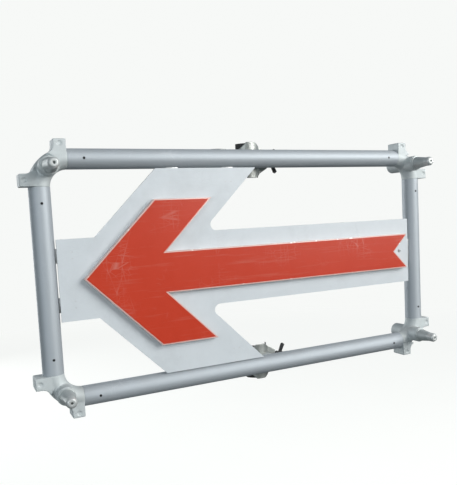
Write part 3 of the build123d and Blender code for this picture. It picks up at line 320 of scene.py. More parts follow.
def finish(name, colour, rough, metal=0.0, fineness=400.0, stretch=(1.0, 1.0, 1.0), tone=0.08,
           gloss=0.07, bump=0.12, scuffs=0.3, scuff_colour=SCUFF_WHITE, edges=0.0,
           edge_colour=SCUFF_WHITE, edge_width=0.0012, dust=0.25, pattern=None):
    """A material of this colour and roughness with its grain, scuffs, worn edges and dust.

    tone and gloss are how far the colour and the roughness vary; scuffs, edges and dust are shares.
    pattern, if given, takes (tree, position, base colour) and gives (base colour, extra height).
    """
    material, tree, shader = new_material(name)
    position = add_node(tree, "ShaderNodeTexCoord").outputs["Object"]
    drawn = add_node(tree, "ShaderNodeMapping", {"Vector": position, "Scale": stretch}).outputs[0]
    grain = use_group(tree, grain_group, {"Position": drawn, "Fineness": fineness})
    scuff = use_group(tree, scuff_group, {"Position": position, "Amount": scuffs})["Mask"]
    dusty = use_group(tree, dust_group, {"Position": position, "Amount": dust})["Mask"]
    dark = tuple(c * (1.0 - tone) for c in colour) + (1.0,)
    light = tuple(min(1.0, c * (1.0 + tone)) for c in colour) + (1.0,)
    base = mixed(tree, grain["Tone"], dark, light)
    height = sums(tree, "SUBTRACT", grain["Height"], times(tree, scuff, SCUFF_DEPTH))
    if pattern:
        base, extra = pattern(tree, position, base)
        height = sums(tree, "ADD", height, extra)
    base = mixed(tree, scuff, base, scuff_colour + (1.0,))
    if edges > 0.0:
        worn = {"Position": position, "Width": edge_width, "Amount": edges}
        worn = use_group(tree, edge_group, worn)["Mask"]
        base = mixed(tree, worn, base, edge_colour + (1.0,))
    base = mixed(tree, dusty, base, DUST_COLOUR + (1.0,))
    tree.links.new(base, shader.inputs["Base Color"])
    matt = ranged(tree, grain["Broad"], 0.0, 1.0, rough - gloss, rough + gloss)
    matt = sums(tree, "ADD", matt, times(tree, scuff, SCUFF_MATT))
    matt = sums(tree, "ADD", matt, times(tree, dusty, DUST_MATT))
    tree.links.new(matt, shader.inputs["Roughness"])
    shader.inputs["Metallic"].default_value = metal
    uneven = {"Strength": bump, "Distance": BUMP_DEPTH, "Height": height}
    uneven = add_node(tree, "ShaderNodeBump", uneven).outputs[0]
    tree.links.new(uneven, shader.inputs["Normal"])
    return material


def dress(material, *names):
    """Gives CAD nodes their material."""
    for name in names:
        mesh = nodes[name].data
        mesh.materials.clear()
        mesh.materials.append(material)


for way, names, stretch in (
    ("level", ("rail_top", "rail_bottom"), (TUBE_RUN, TUBE_LINES, TUBE_LINES)),
    ("upright", ("stile_left", "stile_right"), (TUBE_LINES, TUBE_LINES, TUBE_RUN)),
):
    tube = finish("drawn_tube_" + way, TUBE_COLOUR, TUBE_ROUGH, TUBE_METAL, fineness=DRAWN_FINE,
                  stretch=stretch, tone=0.05, gloss=0.05, bump=0.05, scuffs=0.35, dust=0.22)
    dress(tube, *names)


# ---------------------------------------------------------------- corner castings
# Four elbows of cast aluminium, each with a stacking boss through it and two lugs outside. They
# are shot-blasted and unpainted, with full fillets, soft edges and a faint line where the die met.
CAST_COLOUR = (0.62, 0.665, 0.67)
CAST_ROUGH = 0.62
CAST_METAL = 0.30
CAST_SKIN = 0.0010       # size of the skin's faces
CAST_FLOW = 7            # passes that round its edges and fill its corners
DIE_LINE = 0.0004        # half width of the line where the die met
DIE_TONE = (0.30, 0.32, 0.32, 1.0)
JOIN_WITHIN = 2e-6       # vertices nearer than this are one
FLAT_WITHIN = 0.6        # degrees between faces that are one flat face


def merged(names, flat=False):
    """One mesh of these CAD nodes' solids, with the vertices of neighbouring faces joined."""
    work = bmesh.new()
    for name in names:
        work.from_mesh(nodes[name].data)
    bmesh.ops.remove_doubles(work, verts=work.verts, dist=JOIN_WITHIN)
    if flat:
        limit = math.radians(FLAT_WITHIN)
        bmesh.ops.dissolve_limit(work, angle_limit=limit, verts=work.verts, edges=work.edges)
    mesh = bpy.data.meshes.new(names[0])
    work.to_mesh(mesh)
    work.free()
    return mesh


def finished(piece):
    """The piece's mesh with its modifiers worked in, and the modifiers gone."""
    bpy.context.view_layer.update()
    worked = piece.evaluated_get(bpy.context.evaluated_depsgraph_get())
    done = bpy.data.meshes.new_from_object(worked)
    piece.modifiers.clear()
    piece.data = done


def new_piece(name, mesh):
    """An object of this mesh in the scene."""
    piece = bpy.data.objects.new(name, mesh)
    bpy.context.scene.collection.objects.link(piece)
    return piece


def hand_over(piece, material, body, stands_for):
    """The last step of a piece: its finish, its body and what it stands for."""
    piece.data.materials.clear()
    piece.data.materials.append(material)
    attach(piece, body)
    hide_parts(*stands_for)


def cast_piece(name, names, skin, flow, material, body):
    """CAD solids as one cast skin: every edge rounded and every corner filled a little."""
    piece = new_piece(name, merged(names))
    cover = piece.modifiers.new("skin", "REMESH")
    cover.mode = "VOXEL"
    cover.voxel_size = skin
    cover.use_smooth_shade = True
    even = piece.modifiers.new("flow", "SMOOTH")
    even.factor = 0.5
    even.iterations = flow
    finished(piece)
    hand_over(piece, material, body, names)


def die_line(tree, position, base):
    """The line where the die met, half way through the casting."""
    off = sums(tree, "SUBTRACT", axis_of(tree, position, "Y"), rail_y)
    line = ranged(tree, sums(tree, "ABSOLUTE", off), DIE_LINE, 2 * DIE_LINE, 1.0, 0.0)
    return mixed(tree, times(tree, line, 0.35), base, DIE_TONE), line


low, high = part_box("rail_top")
rail_y = (low.y + high.y) / 2
cast = finish("cast_aluminium", CAST_COLOUR, CAST_ROUGH, CAST_METAL, fineness=900.0, tone=0.10,
              bump=0.30, scuffs=0.35, edges=0.5, edge_colour=(0.66, 0.69, 0.69), dust=0.35,
              pattern=die_line)
corners = ("top_left", "top_right", "bottom_left", "bottom_right")
for corner in corners:
    cast_piece("casting_" + corner, ["corner_" + corner], CAST_SKIN, CAST_FLOW, cast, "frame")


# ---------------------------------------------------------------- stacking pins
# A tapered pin stands on each corner's boss and fits the socket of the board in front. They are
# turned from bar, so their lines run round them, and the land near the nose is rubbed bright.
PIN_COLOUR = (0.56, 0.60, 0.595)
PIN_BRIGHT = (0.74, 0.76, 0.75, 1.0)
PIN_EDGE = 0.0005
SHARP = math.radians(32.0)  # an edge that turns more than this is rounded
PIN_LAND = (0.017, 0.014)  # distances behind the nose between which the rubbed land begins
TURNING = 1500.0         # scale of the turned lines along a pin


def bevelled_piece(name, names, width, material, body, segments=2):
    """CAD solids as one machined, pressed or moulded piece, with a small rounding on every edge."""
    piece = new_piece(name, merged(names, flat=True))
    rounding = piece.modifiers.new("rounding", "BEVEL")
    rounding.width = width
    rounding.segments = segments
    rounding.limit_method = "ANGLE"
    rounding.angle_limit = SHARP
    finished(piece)
    piece.data.shade_smooth()
    piece.data.set_sharp_from_angle(angle=SHARP)
    hand_over(piece, material, body, names)


def turned_lines(tree, position, base):
    """Turning marks along Y, and the bright land and nose."""
    along = axis_of(tree, position, "Y")
    rings = {"W": times(tree, along, TURNING), "Scale": 1.0, "Detail": 2.0}
    rings = add_node(tree, "ShaderNodeTexNoise", rings, noise_dimensions="1D").outputs["Fac"]
    rubbed = ranged(tree, along, pin_nose_y + PIN_LAND[0], pin_nose_y + PIN_LAND[1])
    return mixed(tree, times(tree, rubbed, 0.7), base, PIN_BRIGHT), times(tree, rings, 0.8)


pin_nose_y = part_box("stacking_pin_top_left")[0].y
turned = finish("turned_pin", PIN_COLOUR, 0.46, 0.5, fineness=300.0, tone=0.07, bump=0.16,
                scuffs=0.5, edges=0.6, edge_colour=(0.80, 0.82, 0.81), edge_width=0.0008, dust=0.2,
                pattern=turned_lines)
for corner in corners:
    bevelled_piece("pin_" + corner, ["stacking_pin_" + corner], PIN_EDGE, turned, "frame",
                   segments=3)


# ---------------------------------------------------------------- screws and rivets
# Button screws hold each tube on its casting, cap screws the pins, and dome rivets the brackets.
# The screws are black steel, dull from the weather; the rivets are pale, dull aluminium.
SCREW_COLOUR = (0.035, 0.036, 0.04)
SCREW_SCUFF = (0.25, 0.25, 0.25)
SCREW_WEAR = (0.30, 0.30, 0.31)
RIVET_COLOUR = (0.66, 0.69, 0.71)
SIDES, RINGS = 28, 14    # a head's faces round it, and from pole to pole
SHARP_FIXING = math.radians(35.0)
SIZES = ("Head Radius", "Head Height", "Shank Radius", "Key Radius", "Key Depth")
TUBE_SCREW = (0.0037, 0.0022, 0.0024, 0.0016, 0.0013)  # in the order of SIZES
PIN_SCREW = (0.0050, 0.0060, 0.0030, 0.0029, 0.0030)
RIVET = (0.0033, 0.0013, 0.0016, 0.0, 0.0)


def spots(node, head_height):
    """Each fixing in a CAD node: its head's underside, its head's way and its shank's length."""
    mesh = merged([node])
    work = bmesh.new()
    work.from_mesh(mesh)
    left = dict.fromkeys(work.verts)  # in their order, so that each run finds them alike
    found = []
    while left:
        island, edge = [], [left.popitem()[0]]
        while edge:
            vert = edge.pop()
            island.append(vert)
            for link in vert.link_edges:
                other = link.other_vert(vert)
                if other in left:
                    del left[other]
                    edge.append(other)
        points = np.array([v.co for v in island])
        middle = (points.min(0) + points.max(0)) / 2
        aim = np.linalg.svd(points - points.mean(0), full_matrices=False)[2][0]
        along = (points - middle) @ aim
        spread = np.linalg.norm(points - middle - np.outer(along, aim), axis=1)
        if along[np.argmax(spread)] < 0:
            aim, along = -aim, -along
        length = along.max() - along.min() - head_height
        found.append((middle + aim * (along.max() - head_height), aim, length))
    work.free()
    bpy.data.meshes.remove(mesh)
    return found


def value_input(group, label, kind="NodeSocketFloat"):
    """A named input of a geometry tree; the modifier is set by its identifier."""
    return group.interface.new_socket(label, in_out="INPUT", socket_type=kind).identifier


def vector_of(tree, **parts):
    """A vector of the parts named X, Y and Z."""
    return add_node(tree, "ShaderNodeCombineXYZ", parts).outputs[0]


def cylinder(tree, sides, radius, depth):
    """A cylinder round Z, about its middle."""
    inputs = {"Vertices": sides, "Radius": radius, "Depth": depth}
    return add_node(tree, "GeometryNodeMeshCylinder", inputs).outputs[0]


def moved(tree, shape, **how):
    """The shape with a Translation or a Scale."""
    return add_node(tree, "GeometryNodeTransform", {"Geometry": shape, **how}).outputs[0]


tree = bpy.data.node_groups.new("headed_fixings", "GeometryNodeTree")
tree.interface.new_socket("Geometry", in_out="INPUT", socket_type="NodeSocketGeometry")
fixing_inputs = {label: value_input(tree, label) for label in (*SIZES, "Shank Length")}
fixing_inputs["Material"] = value_input(tree, "Material", "NodeSocketMaterial")
tree.interface.new_socket("Geometry", in_out="OUTPUT", socket_type="NodeSocketGeometry")
ask = tree.nodes.new("NodeGroupInput").outputs
give = tree.nodes.new("NodeGroupOutput").inputs

# The head: a flattened dome cut off at its underside
dome = {"Segments": SIDES, "Rings": RINGS, "Radius": 1.0}
dome = add_node(tree, "GeometryNodeMeshUVSphere", dome).outputs[0]
size = vector_of(tree, X=ask["Head Radius"], Y=ask["Head Radius"], Z=ask["Head Height"])
dome = moved(tree, dome, Scale=size)
wide, tall = times(tree, ask["Head Radius"], 1.2), times(tree, ask["Head Height"], 2.0)
room = cylinder(tree, SIDES, wide, tall)
top = vector_of(tree, Z=ask["Head Height"])
head = add_node(tree, "GeometryNodeMeshBoolean", {"Mesh 2": dome}, operation="INTERSECT")
tree.links.new(moved(tree, room, Translation=top), head.inputs["Mesh 2"])
# The key: a six-sided pocket in the head
key = cylinder(tree, 6, ask["Key Radius"], times(tree, ask["Key Depth"], 2.0))
keyed = {"Mesh 1": head.outputs[0], "Mesh 2": moved(tree, key, Translation=top)}
keyed = add_node(tree, "GeometryNodeMeshBoolean", keyed, operation="DIFFERENCE").outputs[0]
# The shank, down from the underside
shank = cylinder(tree, SIDES, ask["Shank Radius"], ask["Shank Length"])
down = vector_of(tree, Z=times(tree, ask["Shank Length"], -0.5))
whole = add_node(tree, "GeometryNodeJoinGeometry", {0: keyed})
tree.links.new(moved(tree, shank, Translation=down), whole.inputs[0])
# One on every point, turned to its way
way = {"Name": "way"}
way = add_node(tree, "GeometryNodeInputNamedAttribute", way, data_type="FLOAT_VECTOR").outputs[0]
aimed = add_node(tree, "FunctionNodeAlignRotationToVector", {"Vector": way}, axis="Z").outputs[0]
placed = {"Points": ask["Geometry"], "Instance": whole.outputs[0], "Rotation": aimed}
placed = add_node(tree, "GeometryNodeInstanceOnPoints", placed).outputs[0]
made = add_node(tree, "GeometryNodeRealizeInstances", {0: placed}).outputs[0]
shaded = {0: made, "Shade Smooth": False}
shaded = add_node(tree, "GeometryNodeSetShadeSmooth", shaded).outputs[0]
coated = {0: shaded, "Material": ask["Material"]}
tree.links.new(add_node(tree, "GeometryNodeSetMaterial", coated).outputs[0], give[0])
fixing_tree = tree


def fixings(name, node, material, size):
    """All of a CAD node's screws or rivets as one piece; size is in the order of SIZES."""
    places = spots(node, size[SIZES.index("Head Height")])
    mesh = bpy.data.meshes.new(name)
    mesh.from_pydata([tuple(place) for place, _, _ in places], [], [])
    ways = mesh.attributes.new("way", "FLOAT_VECTOR", "POINT")
    for point, (_, aim, _) in zip(ways.data, places):
        point.vector = aim
    piece = new_piece(name, mesh)
    step = piece.modifiers.new("fixings", "NODES")
    step.node_group = fixing_tree
    values = dict(zip(SIZES, size))
    values.update({"Shank Length": float(places[0][2]), "Material": material})
    for label, value in values.items():
        step[fixing_inputs[label]] = value
    finished(piece)
    piece.data.set_sharp_from_angle(angle=SHARP_FIXING)
    hand_over(piece, material, "frame", [node])


black_steel = finish("black_steel", SCREW_COLOUR, 0.42, 0.6, fineness=900.0, tone=0.25, bump=0.15,
                     scuffs=0.3, scuff_colour=SCREW_SCUFF, edges=0.5, edge_colour=SCREW_WEAR,
                     edge_width=0.0004)
rivet_metal = finish("rivet_aluminium", RIVET_COLOUR, 0.40, 0.35, fineness=900.0, tone=0.10,
                     bump=0.15, scuffs=0.3)
fixings("tube_button_screws", "tube_screws", black_steel, TUBE_SCREW)
fixings("pin_cap_screws", "pin_screws", black_steel, PIN_SCREW)
fixings("dome_rivets", "bracket_rivets", rivet_metal, RIVET)


# ---------------------------------------------------------------- board and its brackets
# The board is a 3 mm aluminium plate, cut to the arrow's outline, bare and rolled behind. Pressed
# brackets hug the tubes and are riveted to the plate; one end screw shows.
PLATE_COLOUR = (0.56, 0.585, 0.60)
PLATE_WEAR = (0.80, 0.82, 0.84)
BRACKET_COLOUR = (0.50, 0.51, 0.51)
BRACKET_WEAR = (0.80, 0.81, 0.81)
BRACKET_EDGE = 0.0005
ROLL_LINES = (5.0, 5.0, 420.0)  # stretch of the rolling lines along x, y and z

rolled = finish("rolled_plate", PLATE_COLOUR, 0.40, 0.85, fineness=DRAWN_FINE, stretch=ROLL_LINES,
                tone=0.045, gloss=0.04, bump=0.03, scuffs=0.6, edges=0.4, edge_colour=PLATE_WEAR,
                edge_width=0.0006, dust=0.3)
pressed = finish("pressed_bracket", BRACKET_COLOUR, 0.42, 0.85, fineness=700.0, tone=0.10,
                 bump=0.14, scuffs=0.5, edges=0.6, edge_colour=BRACKET_WEAR, edge_width=0.0008)
dress(rolled, "board_plate")
bevelled_piece("tube_brackets", ["rail_brackets"], BRACKET_EDGE, pressed, "frame")
bevelled_piece("side_brackets", ["stile_brackets"], BRACKET_EDGE, pressed, "frame")
dress(pressed, "end_screw")


# ---------------------------------------------------------------- white reflective sheeting
# The front is covered with white retroreflective sheeting: a clear skin sealed down to a net of
# six-sided cells. It is a little glossy, bluish in daylight and slightly soiled by the road.
SHEET_COLOUR = (0.69, 0.735, 0.765)
SHEET_ROUGH = 0.36
SHEET_SCUFF = (0.50, 0.53, 0.56)
SHEET_LINE = (0.74, 0.78, 0.82, 1.0)
SOIL_COLOUR = (0.42, 0.44, 0.45, 1.0)
SHEET_SOILING, SHEET_WAVES = 9.0, 22.0  # scales of the soiling and of the waviness
CELL_SIZE = 0.0034
CELL_SEAL, CELL_RIM = 0.46, 0.49  # where a cell's sealed line starts and is full, from its middle
ROW = math.sqrt(3.0)     # from one row of cells to the next but one, with a cell 1 wide
HALF_CELL = (0.5, ROW / 2, 0.0)

# Cells: a net of six-sided cells in XZ, as the line between them
wanted = (("Position", VECTOR, None), ("Size", FLOAT, 0.003))
tree, ask, give = new_group("sheeting_cells", wanted, (("Line", FLOAT),))
across, up = (axis_of(tree, ask["Position"], axis) for axis in "XZ")
laid = vector_of(tree, X=across, Y=up)
counted = scaled(tree, laid, sums(tree, "DIVIDE", 1.0, ask["Size"]))
nets = []
for start in ((0.0, 0.0, 0.0), HALF_CELL):
    net = vectors(tree, "SUBTRACT", counted, start).outputs[0]
    net = {0: net, 1: (1.0, ROW, 1.0), 2: (0.0, 0.0, 0.0)}
    net = add_node(tree, "ShaderNodeVectorMath", net, operation="WRAP").outputs[0]
    nets.append(vectors(tree, "SUBTRACT", net, HALF_CELL).outputs[0])
reach = [vectors(tree, "LENGTH", net).outputs["Value"] for net in nets]
own = {0: sums(tree, "LESS_THAN", reach[1], reach[0]), 4: nets[0], 5: nets[1]}
own = add_node(tree, "ShaderNodeMix", own, data_type="VECTOR").outputs[1]
own = vectors(tree, "ABSOLUTE", own).outputs[0]
slanted = vectors(tree, "DOT_PRODUCT", own, HALF_CELL).outputs["Value"]
out = sums(tree, "MAXIMUM", axis_of(tree, own, "X"), slanted)
tree.links.new(ranged(tree, out, CELL_SEAL, CELL_RIM), give["Line"])
cell_group = tree


def white_cells(tree, position, base):
    """The sheeting's net, its soiling, and the slight waviness of a sheet stuck down by hand."""
    net = use_group(tree, cell_group, {"Position": position, "Size": CELL_SIZE})["Line"]
    base = mixed(tree, times(tree, net, 0.22), base, SHEET_LINE)
    soil = ranged(tree, noise(tree, position, SHEET_SOILING, 9.0, 0.65), 0.50, 0.78, 0.0, 0.32)
    base = mixed(tree, soil, base, SOIL_COLOUR)
    wave = noise(tree, position, SHEET_WAVES)
    return base, sums(tree, "ADD", times(tree, net, -0.35), times(tree, wave, 2.0))


white_sheeting = finish("white_sheeting", SHEET_COLOUR, SHEET_ROUGH, fineness=1200.0, tone=0.025,
                        gloss=0.05, bump=0.10, scuffs=0.25, scuff_colour=SHEET_SCUFF, dust=0.1,
                        pattern=white_cells)
dress(white_sheeting, "reflective_sheet")


# ---------------------------------------------------------------- arrow light
# A shallow arrow-shaped tray of milky plastic holds the lights, under a pale face plate with a
# rubber seal. Its edge is a thin border round the red film, worn pale, with painted highlight
# glints.
TRAY_COLOUR = (0.80, 0.66, 0.62)
TRAY_WEAR = (0.95, 0.90, 0.86)
TRAY_EDGE = 0.0004
FACE_COLOUR = (0.78, 0.52, 0.47)
FACE_WEAR = (1.0, 0.93, 0.88)
FACE_EDGE = 0.0007
PAINTED_GLINT_SCALE = 95.0            # scale of the noise that spreads the painted highlight glints
PAINTED_GLINT_COLOUR = (1.0, 0.98, 0.92, 1.0)
RUBBER_COLOUR = (0.045, 0.045, 0.045)
RUBBER_SCUFF = (0.1, 0.1, 0.1)
LIGHT_SCREW = (0.0038, 0.0024, 0.0020, 0.0016, 0.0012)

seal_rubber = finish("seal_rubber", RUBBER_COLOUR, 0.75, fineness=800.0, tone=0.2, bump=0.2,
                     scuffs=0.1, scuff_colour=RUBBER_SCUFF, dust=0.1)


def painted_glints(tree, position, base):
    """Painted highlight: small near-white glint spots put into the milky edge's colour, raised
    slightly.
    """
    # spot is where a painted glint of highlight goes into the colour
    spot = ranged(tree, noise(tree, position, PAINTED_GLINT_SCALE, 1.0), 0.66, 0.70)
    return mixed(tree, spot, base, PAINTED_GLINT_COLOUR), times(tree, spot, 0.5)


# The tray and the face plate's edge both carry painted highlight glints.
milky = finish("milky_tray", TRAY_COLOUR, 0.35, fineness=900.0, tone=0.05, bump=0.10, scuffs=0.2,
               edges=0.4, edge_colour=TRAY_WEAR, edge_width=0.0008, dust=0.1, pattern=painted_glints)
clear_edge = finish("face_edge", FACE_COLOUR, 0.18, fineness=900.0, tone=0.05, bump=0.08,
                    scuffs=0.2, edges=0.7, edge_colour=FACE_WEAR, edge_width=0.0008, dust=0.05,
                    pattern=painted_glints)
bevelled_piece("light_tray", ["arrow_tray"], TRAY_EDGE, milky, "frame")
bevelled_piece("face_plate", ["arrow_face_plate"], FACE_EDGE, clear_edge, "frame",
               segments=3)
dress(seal_rubber, "tray_seal")
fixings("light_screws", "arrow_screws", black_steel, LIGHT_SCREW)


# ---------------------------------------------------------------- red film
# The face is covered with fluorescent red reflective film, the same sealed cells as the board's.
# It is glossy, with hairline scratches, faint paler streaks painted in as a reflection and a few
# paler patches.
FILM_COLOUR = (0.60, 0.046, 0.016)
FILM_ROUGH = 0.30
FILM_SCUFF = (0.66, 0.30, 0.25)
FILM_LIGHT = (0.66, 0.062, 0.027, 1.0)
FILM_DEEP = (0.60, 0.043, 0.015, 1.0)
FILM_LINE = (0.66, 0.16, 0.11, 1.0)
# The paler colour below, with its streaks' scale, turn and stretch, paints a reflection on the
# film.
FILM_PAINTED_REFLECTION = (0.62, 0.20, 0.15, 1.0)
FILM_PATCHES, FILM_REFLECTION_STREAKS, FILM_WAVES = 5.0, 1.6, 16.0  # scales of these noises
REFLECTION_TURN, REFLECTION_STRETCH = (0.0, 0.12, 0.0), (4.0, 1.0, 60.0)


def red_cells(tree, position, base):
    """The film's net, its patches of paler and deeper red, and paler streaks painted along the
    shaft as a reflection.
    """
    net = use_group(tree, cell_group, {"Position": position, "Size": CELL_SIZE})["Line"]
    base = mixed(tree, times(tree, net, 0.16), base, FILM_LINE)
    patch = noise(tree, position, FILM_PATCHES, 6.0)
    base = mixed(tree, ranged(tree, patch, 0.46, 0.72, 0.0, 0.35), base, FILM_LIGHT)
    base = mixed(tree, ranged(tree, patch, 0.52, 0.28, 0.0, 0.30), base, FILM_DEEP)
    # Paler streaks stretched along the shaft: a reflection painted into the film's colour.
    reflection_laid = {"Vector": position, "Rotation": REFLECTION_TURN, "Scale": REFLECTION_STRETCH}
    reflection_laid = add_node(tree, "ShaderNodeMapping", reflection_laid).outputs[0]
    painted_reflection = ranged(tree, noise(tree, reflection_laid, FILM_REFLECTION_STREAKS, 7.0, 0.7), 0.54, 0.78, 0.0, 0.45)
    base = mixed(tree, painted_reflection, base, FILM_PAINTED_REFLECTION)
    wave = noise(tree, position, FILM_WAVES)
    return base, sums(tree, "ADD", times(tree, net, -0.3), times(tree, wave, 3.0))


red_film = finish("red_film", FILM_COLOUR, FILM_ROUGH, fineness=1200.0, tone=0.03, gloss=0.02,
                  bump=0.10, scuffs=0.45, scuff_colour=FILM_SCUFF, dust=0.06, pattern=red_cells)
dress(red_film, "arrow_film")


# ---------------------------------------------------------------- lights inside the tray
# Narrow circuit strips lie on the tray's floor, green-lacquered, with a white light every 22 mm.
# The strips are screwed down and joined across the shaft where the cable comes in.
STRIP_COLOUR = (0.020, 0.105, 0.040)
TRACK_COLOUR = (0.06, 0.19, 0.08, 1.0)
LIGHT_COLOUR = (0.86, 0.84, 0.70)
LIGHT_EDGE = 0.0003
TRACK_SCALE, TRACK_WIDTH = 160.0, 0.05
WHITE = (1.0, 1.0, 1.0, 1.0)


def tracks(tree, position, base):
    """Copper tracks that show through the lacquer."""
    laid = {"Vector": position, "Rotation": (math.radians(90.0), 0.0, 0.0)}
    laid = add_node(tree, "ShaderNodeMapping", laid).outputs[0]
    grid = {"Vector": laid, "Scale": TRACK_SCALE, "Mortar Size": TRACK_WIDTH}
    grid.update({"Color1": BLACK, "Color2": BLACK, "Mortar": WHITE})
    grid = add_node(tree, "ShaderNodeTexBrick", grid).outputs["Color"]
    track = ranged(tree, grid, 0.2, 0.6)
    return mixed(tree, track, base, TRACK_COLOUR), times(tree, track, 0.5)


lacquer = finish("circuit_lacquer", STRIP_COLOUR, 0.30, fineness=900.0, tone=0.15, bump=0.15,
                 scuffs=0.1, dust=0.1, pattern=tracks)
light_body = finish("light_body", LIGHT_COLOUR, 0.35, fineness=1500.0, tone=0.06, bump=0.1,
                    scuffs=0.1, dust=0.05)
dress(lacquer, "led_strips", "control_board")
bevelled_piece("light_chips", ["leds"], LIGHT_EDGE, light_body, "frame")


# ---------------------------------------------------------------- battery and control box
# A moulded grey plastic case with a hinged lid holds four dry cells and the control board. The
# mould left a fine even grain, and the lid is held by a pressed steel latch below.
BOX_COLOUR = (0.34, 0.36, 0.365)
BOX_ROUGH = 0.50
BOX_SCUFF = (0.50, 0.52, 0.52)
BOX_WEAR = (0.52, 0.54, 0.54)
BOX_EDGE = 0.0009
MOULD_GRAIN = 620.0      # scale of the mould's grain
STEEL_COLOUR = (0.56, 0.57, 0.58)
STEEL_WEAR = (0.82, 0.83, 0.84)
STEEL_LINES = (5.0, 330.0, 330.0)  # stretch of its drawn lines along x, y and z
LATCH_EDGE = 0.0004
BOX_SCREW = (0.0034, 0.0018, 0.0020, 0.0014, 0.0009)


def mould_grain(tree, position, base):
    """The fine leathery grain that a mould leaves."""
    cells = {"Vector": position, "Scale": MOULD_GRAIN}
    cells = add_node(tree, "ShaderNodeTexVoronoi", cells, feature="SMOOTH_F1")
    return base, times(tree, cells.outputs["Distance"], 0.9)


grey_plastic = finish("grey_plastic", BOX_COLOUR, BOX_ROUGH, fineness=700.0, tone=0.05, bump=0.22,
                      scuffs=0.35, scuff_colour=BOX_SCUFF, edges=0.35, edge_colour=BOX_WEAR,
                      dust=0.5, pattern=mould_grain)
bright_steel = finish("bright_steel", STEEL_COLOUR, 0.32, 1.0, fineness=DRAWN_FINE,
                      stretch=STEEL_LINES, tone=0.08, bump=0.07, scuffs=0.4, edges=0.4,
                      edge_colour=STEEL_WEAR, edge_width=0.0006)
bevelled_piece("box_case", ["battery_case"], BOX_EDGE, grey_plastic, "frame", segments=3)
bevelled_piece("box_lid", ["battery_lid"], BOX_EDGE, grey_plastic, "battery_lid", segments=3)
bevelled_piece("latch_lever", ["lid_latch"], LATCH_EDGE, bright_steel, "lid_latch")
dress(seal_rubber, "lid_gasket")
dress(bright_steel, "lid_hinge_pins", "latch_pin")
fixings("box_pan_screws", "box_screws", bright_steel, BOX_SCREW)


# ---------------------------------------------------------------- what the box holds
# Four dry cells in printed sleeves lie between brass springs and tabs. A photo sensor looks out of
# the left wall, a toggle switch out of the right. One cable goes through the board in a grommet.
SLEEVE_COLOUR = (0.030, 0.055, 0.125)
SLEEVE_BAND = (0.50, 0.30, 0.08, 1.0)
CELL_PITCH = 0.062       # from one cell to the next along the box
BRASS_COLOUR = (0.62, 0.47, 0.20)
CABLE_COLOUR = (0.022, 0.022, 0.022)
CABLE_SCUFF = (0.12, 0.12, 0.12)
SENSOR_COLOUR = (0.30, 0.31, 0.30)
COLLAR_EDGE = 0.0004


def sleeve_band(tree, position, base):
    """The copper-coloured band round the head end of each cell."""
    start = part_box("battery_cells")[0].x
    along = sums(tree, "SUBTRACT", axis_of(tree, position, "X"), start)
    share = sums(tree, "FRACT", sums(tree, "DIVIDE", along, CELL_PITCH))
    return mixed(tree, ranged(tree, share, 0.70, 0.72), base, SLEEVE_BAND), 0.0


sleeve = finish("cell_sleeve", SLEEVE_COLOUR, 0.28, fineness=700.0, tone=0.08, bump=0.06,
                scuffs=0.4, dust=0.05, pattern=sleeve_band)
brass = finish("contact_brass", BRASS_COLOUR, 0.34, 1.0, fineness=700.0, tone=0.12, bump=0.1,
               scuffs=0.4, dust=0.05)
cable_skin = finish("cable_skin", CABLE_COLOUR, 0.55, fineness=900.0, tone=0.2, bump=0.2,
                    scuffs=0.2, scuff_colour=CABLE_SCUFF, dust=0.2)
sensor_lens = finish("sensor_lens", SENSOR_COLOUR, 0.12, fineness=900.0, tone=0.1, bump=0.05,
                     scuffs=0.3, dust=0.2)
dress(sleeve, "battery_cells")
dress(brass, "battery_contacts")
dress(sensor_lens, "photo_sensor")
dress(cable_skin, "led_cable", "cable_grommet")
bevelled_piece("switch_collar", ["switch_bush"], COLLAR_EDGE, bright_steel, "frame")
dress(bright_steel, "switch_lever")


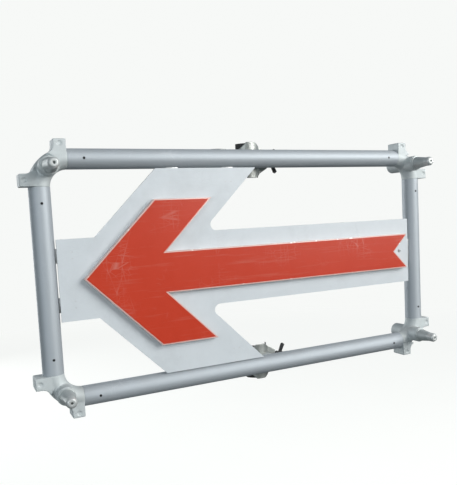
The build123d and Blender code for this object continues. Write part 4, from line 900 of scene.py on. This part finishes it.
# ---------------------------------------------------------------- pole clamps
# Each clamp is a cast spacer bolted to the rail and a pressed saddle with a rubber liner. A hinged
# cover swings round the pole, and an eye bolt with a black wing nut holds it. The pressed steel is
# zinc plated, dulled and rusty here and there.
ZINC_COLOUR = (0.40, 0.42, 0.40)
ZINC_PALE = (0.60, 0.62, 0.60, 1.0)
ZINC_WEAR = (0.66, 0.68, 0.66)
RUST_COLOUR = (0.20, 0.115, 0.055, 1.0)
CRYSTALS, STAINS = 190.0, 45.0  # scales of the zinc's crystals and of its stains
WING_COLOUR = (0.020, 0.021, 0.022)
WING_SCUFF = (0.14, 0.14, 0.14)
WING_WEAR = (0.11, 0.11, 0.11)
CLAMP_SKIN, CLAMP_FLOW = 0.0007, 4
WING_SKIN, WING_FLOW = 0.0006, 5
BOLT_EDGE = 0.0005


def zinc_flowers(tree, position, base):
    """The mottled crystals of zinc plate, stained here and there."""
    crystals = add_node(tree, "ShaderNodeTexVoronoi", {"Vector": position, "Scale": CRYSTALS})
    tone = ranged(tree, crystals.outputs["Color"], 0.0, 1.0, 0.0, 0.30)
    base = mixed(tree, tone, base, ZINC_PALE)
    stain = ranged(tree, noise(tree, position, STAINS, 8.0, 0.7), 0.60, 0.76, 0.0, 0.5)
    return mixed(tree, stain, base, RUST_COLOUR), times(tree, tone, 0.6)


zinc = finish("zinc_plate", ZINC_COLOUR, 0.46, 0.75, fineness=700.0, tone=0.10, bump=0.20,
              scuffs=0.4, edges=0.5, edge_colour=ZINC_WEAR, dust=0.45, pattern=zinc_flowers)
black_wing = finish("black_wing", WING_COLOUR, 0.42, fineness=900.0, tone=0.2, bump=0.2,
                    scuffs=0.35, scuff_colour=WING_SCUFF, edges=0.5, edge_colour=WING_WEAR,
                    edge_width=0.0008)
for side in ("upper", "lower"):
    seat, saddle = side + "_clamp_seat", side + "_clamp_saddle"
    cover, bolt, nut = side + "_cover", side + "_swing_bolt", side + "_wing_nut"
    cast_piece(side + "_spacer", [seat], CLAMP_SKIN, CLAMP_FLOW, cast, "frame")
    cast_piece(side + "_saddle", [saddle], CLAMP_SKIN, CLAMP_FLOW, zinc, "frame")
    cast_piece(side + "_swing_cover", [cover], CLAMP_SKIN, CLAMP_FLOW, zinc, cover)
    cast_piece(side + "_wings", [nut], WING_SKIN, WING_FLOW, black_wing, nut)
    bevelled_piece(side + "_eye_bolt", [bolt], BOLT_EDGE, bright_steel, bolt)
    dress(seal_rubber, side + "_clamp_liner")
    dress(bright_steel, side + "_clamp_bolt", side + "_cover_pin", side + "_bolt_pin")


low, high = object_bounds()
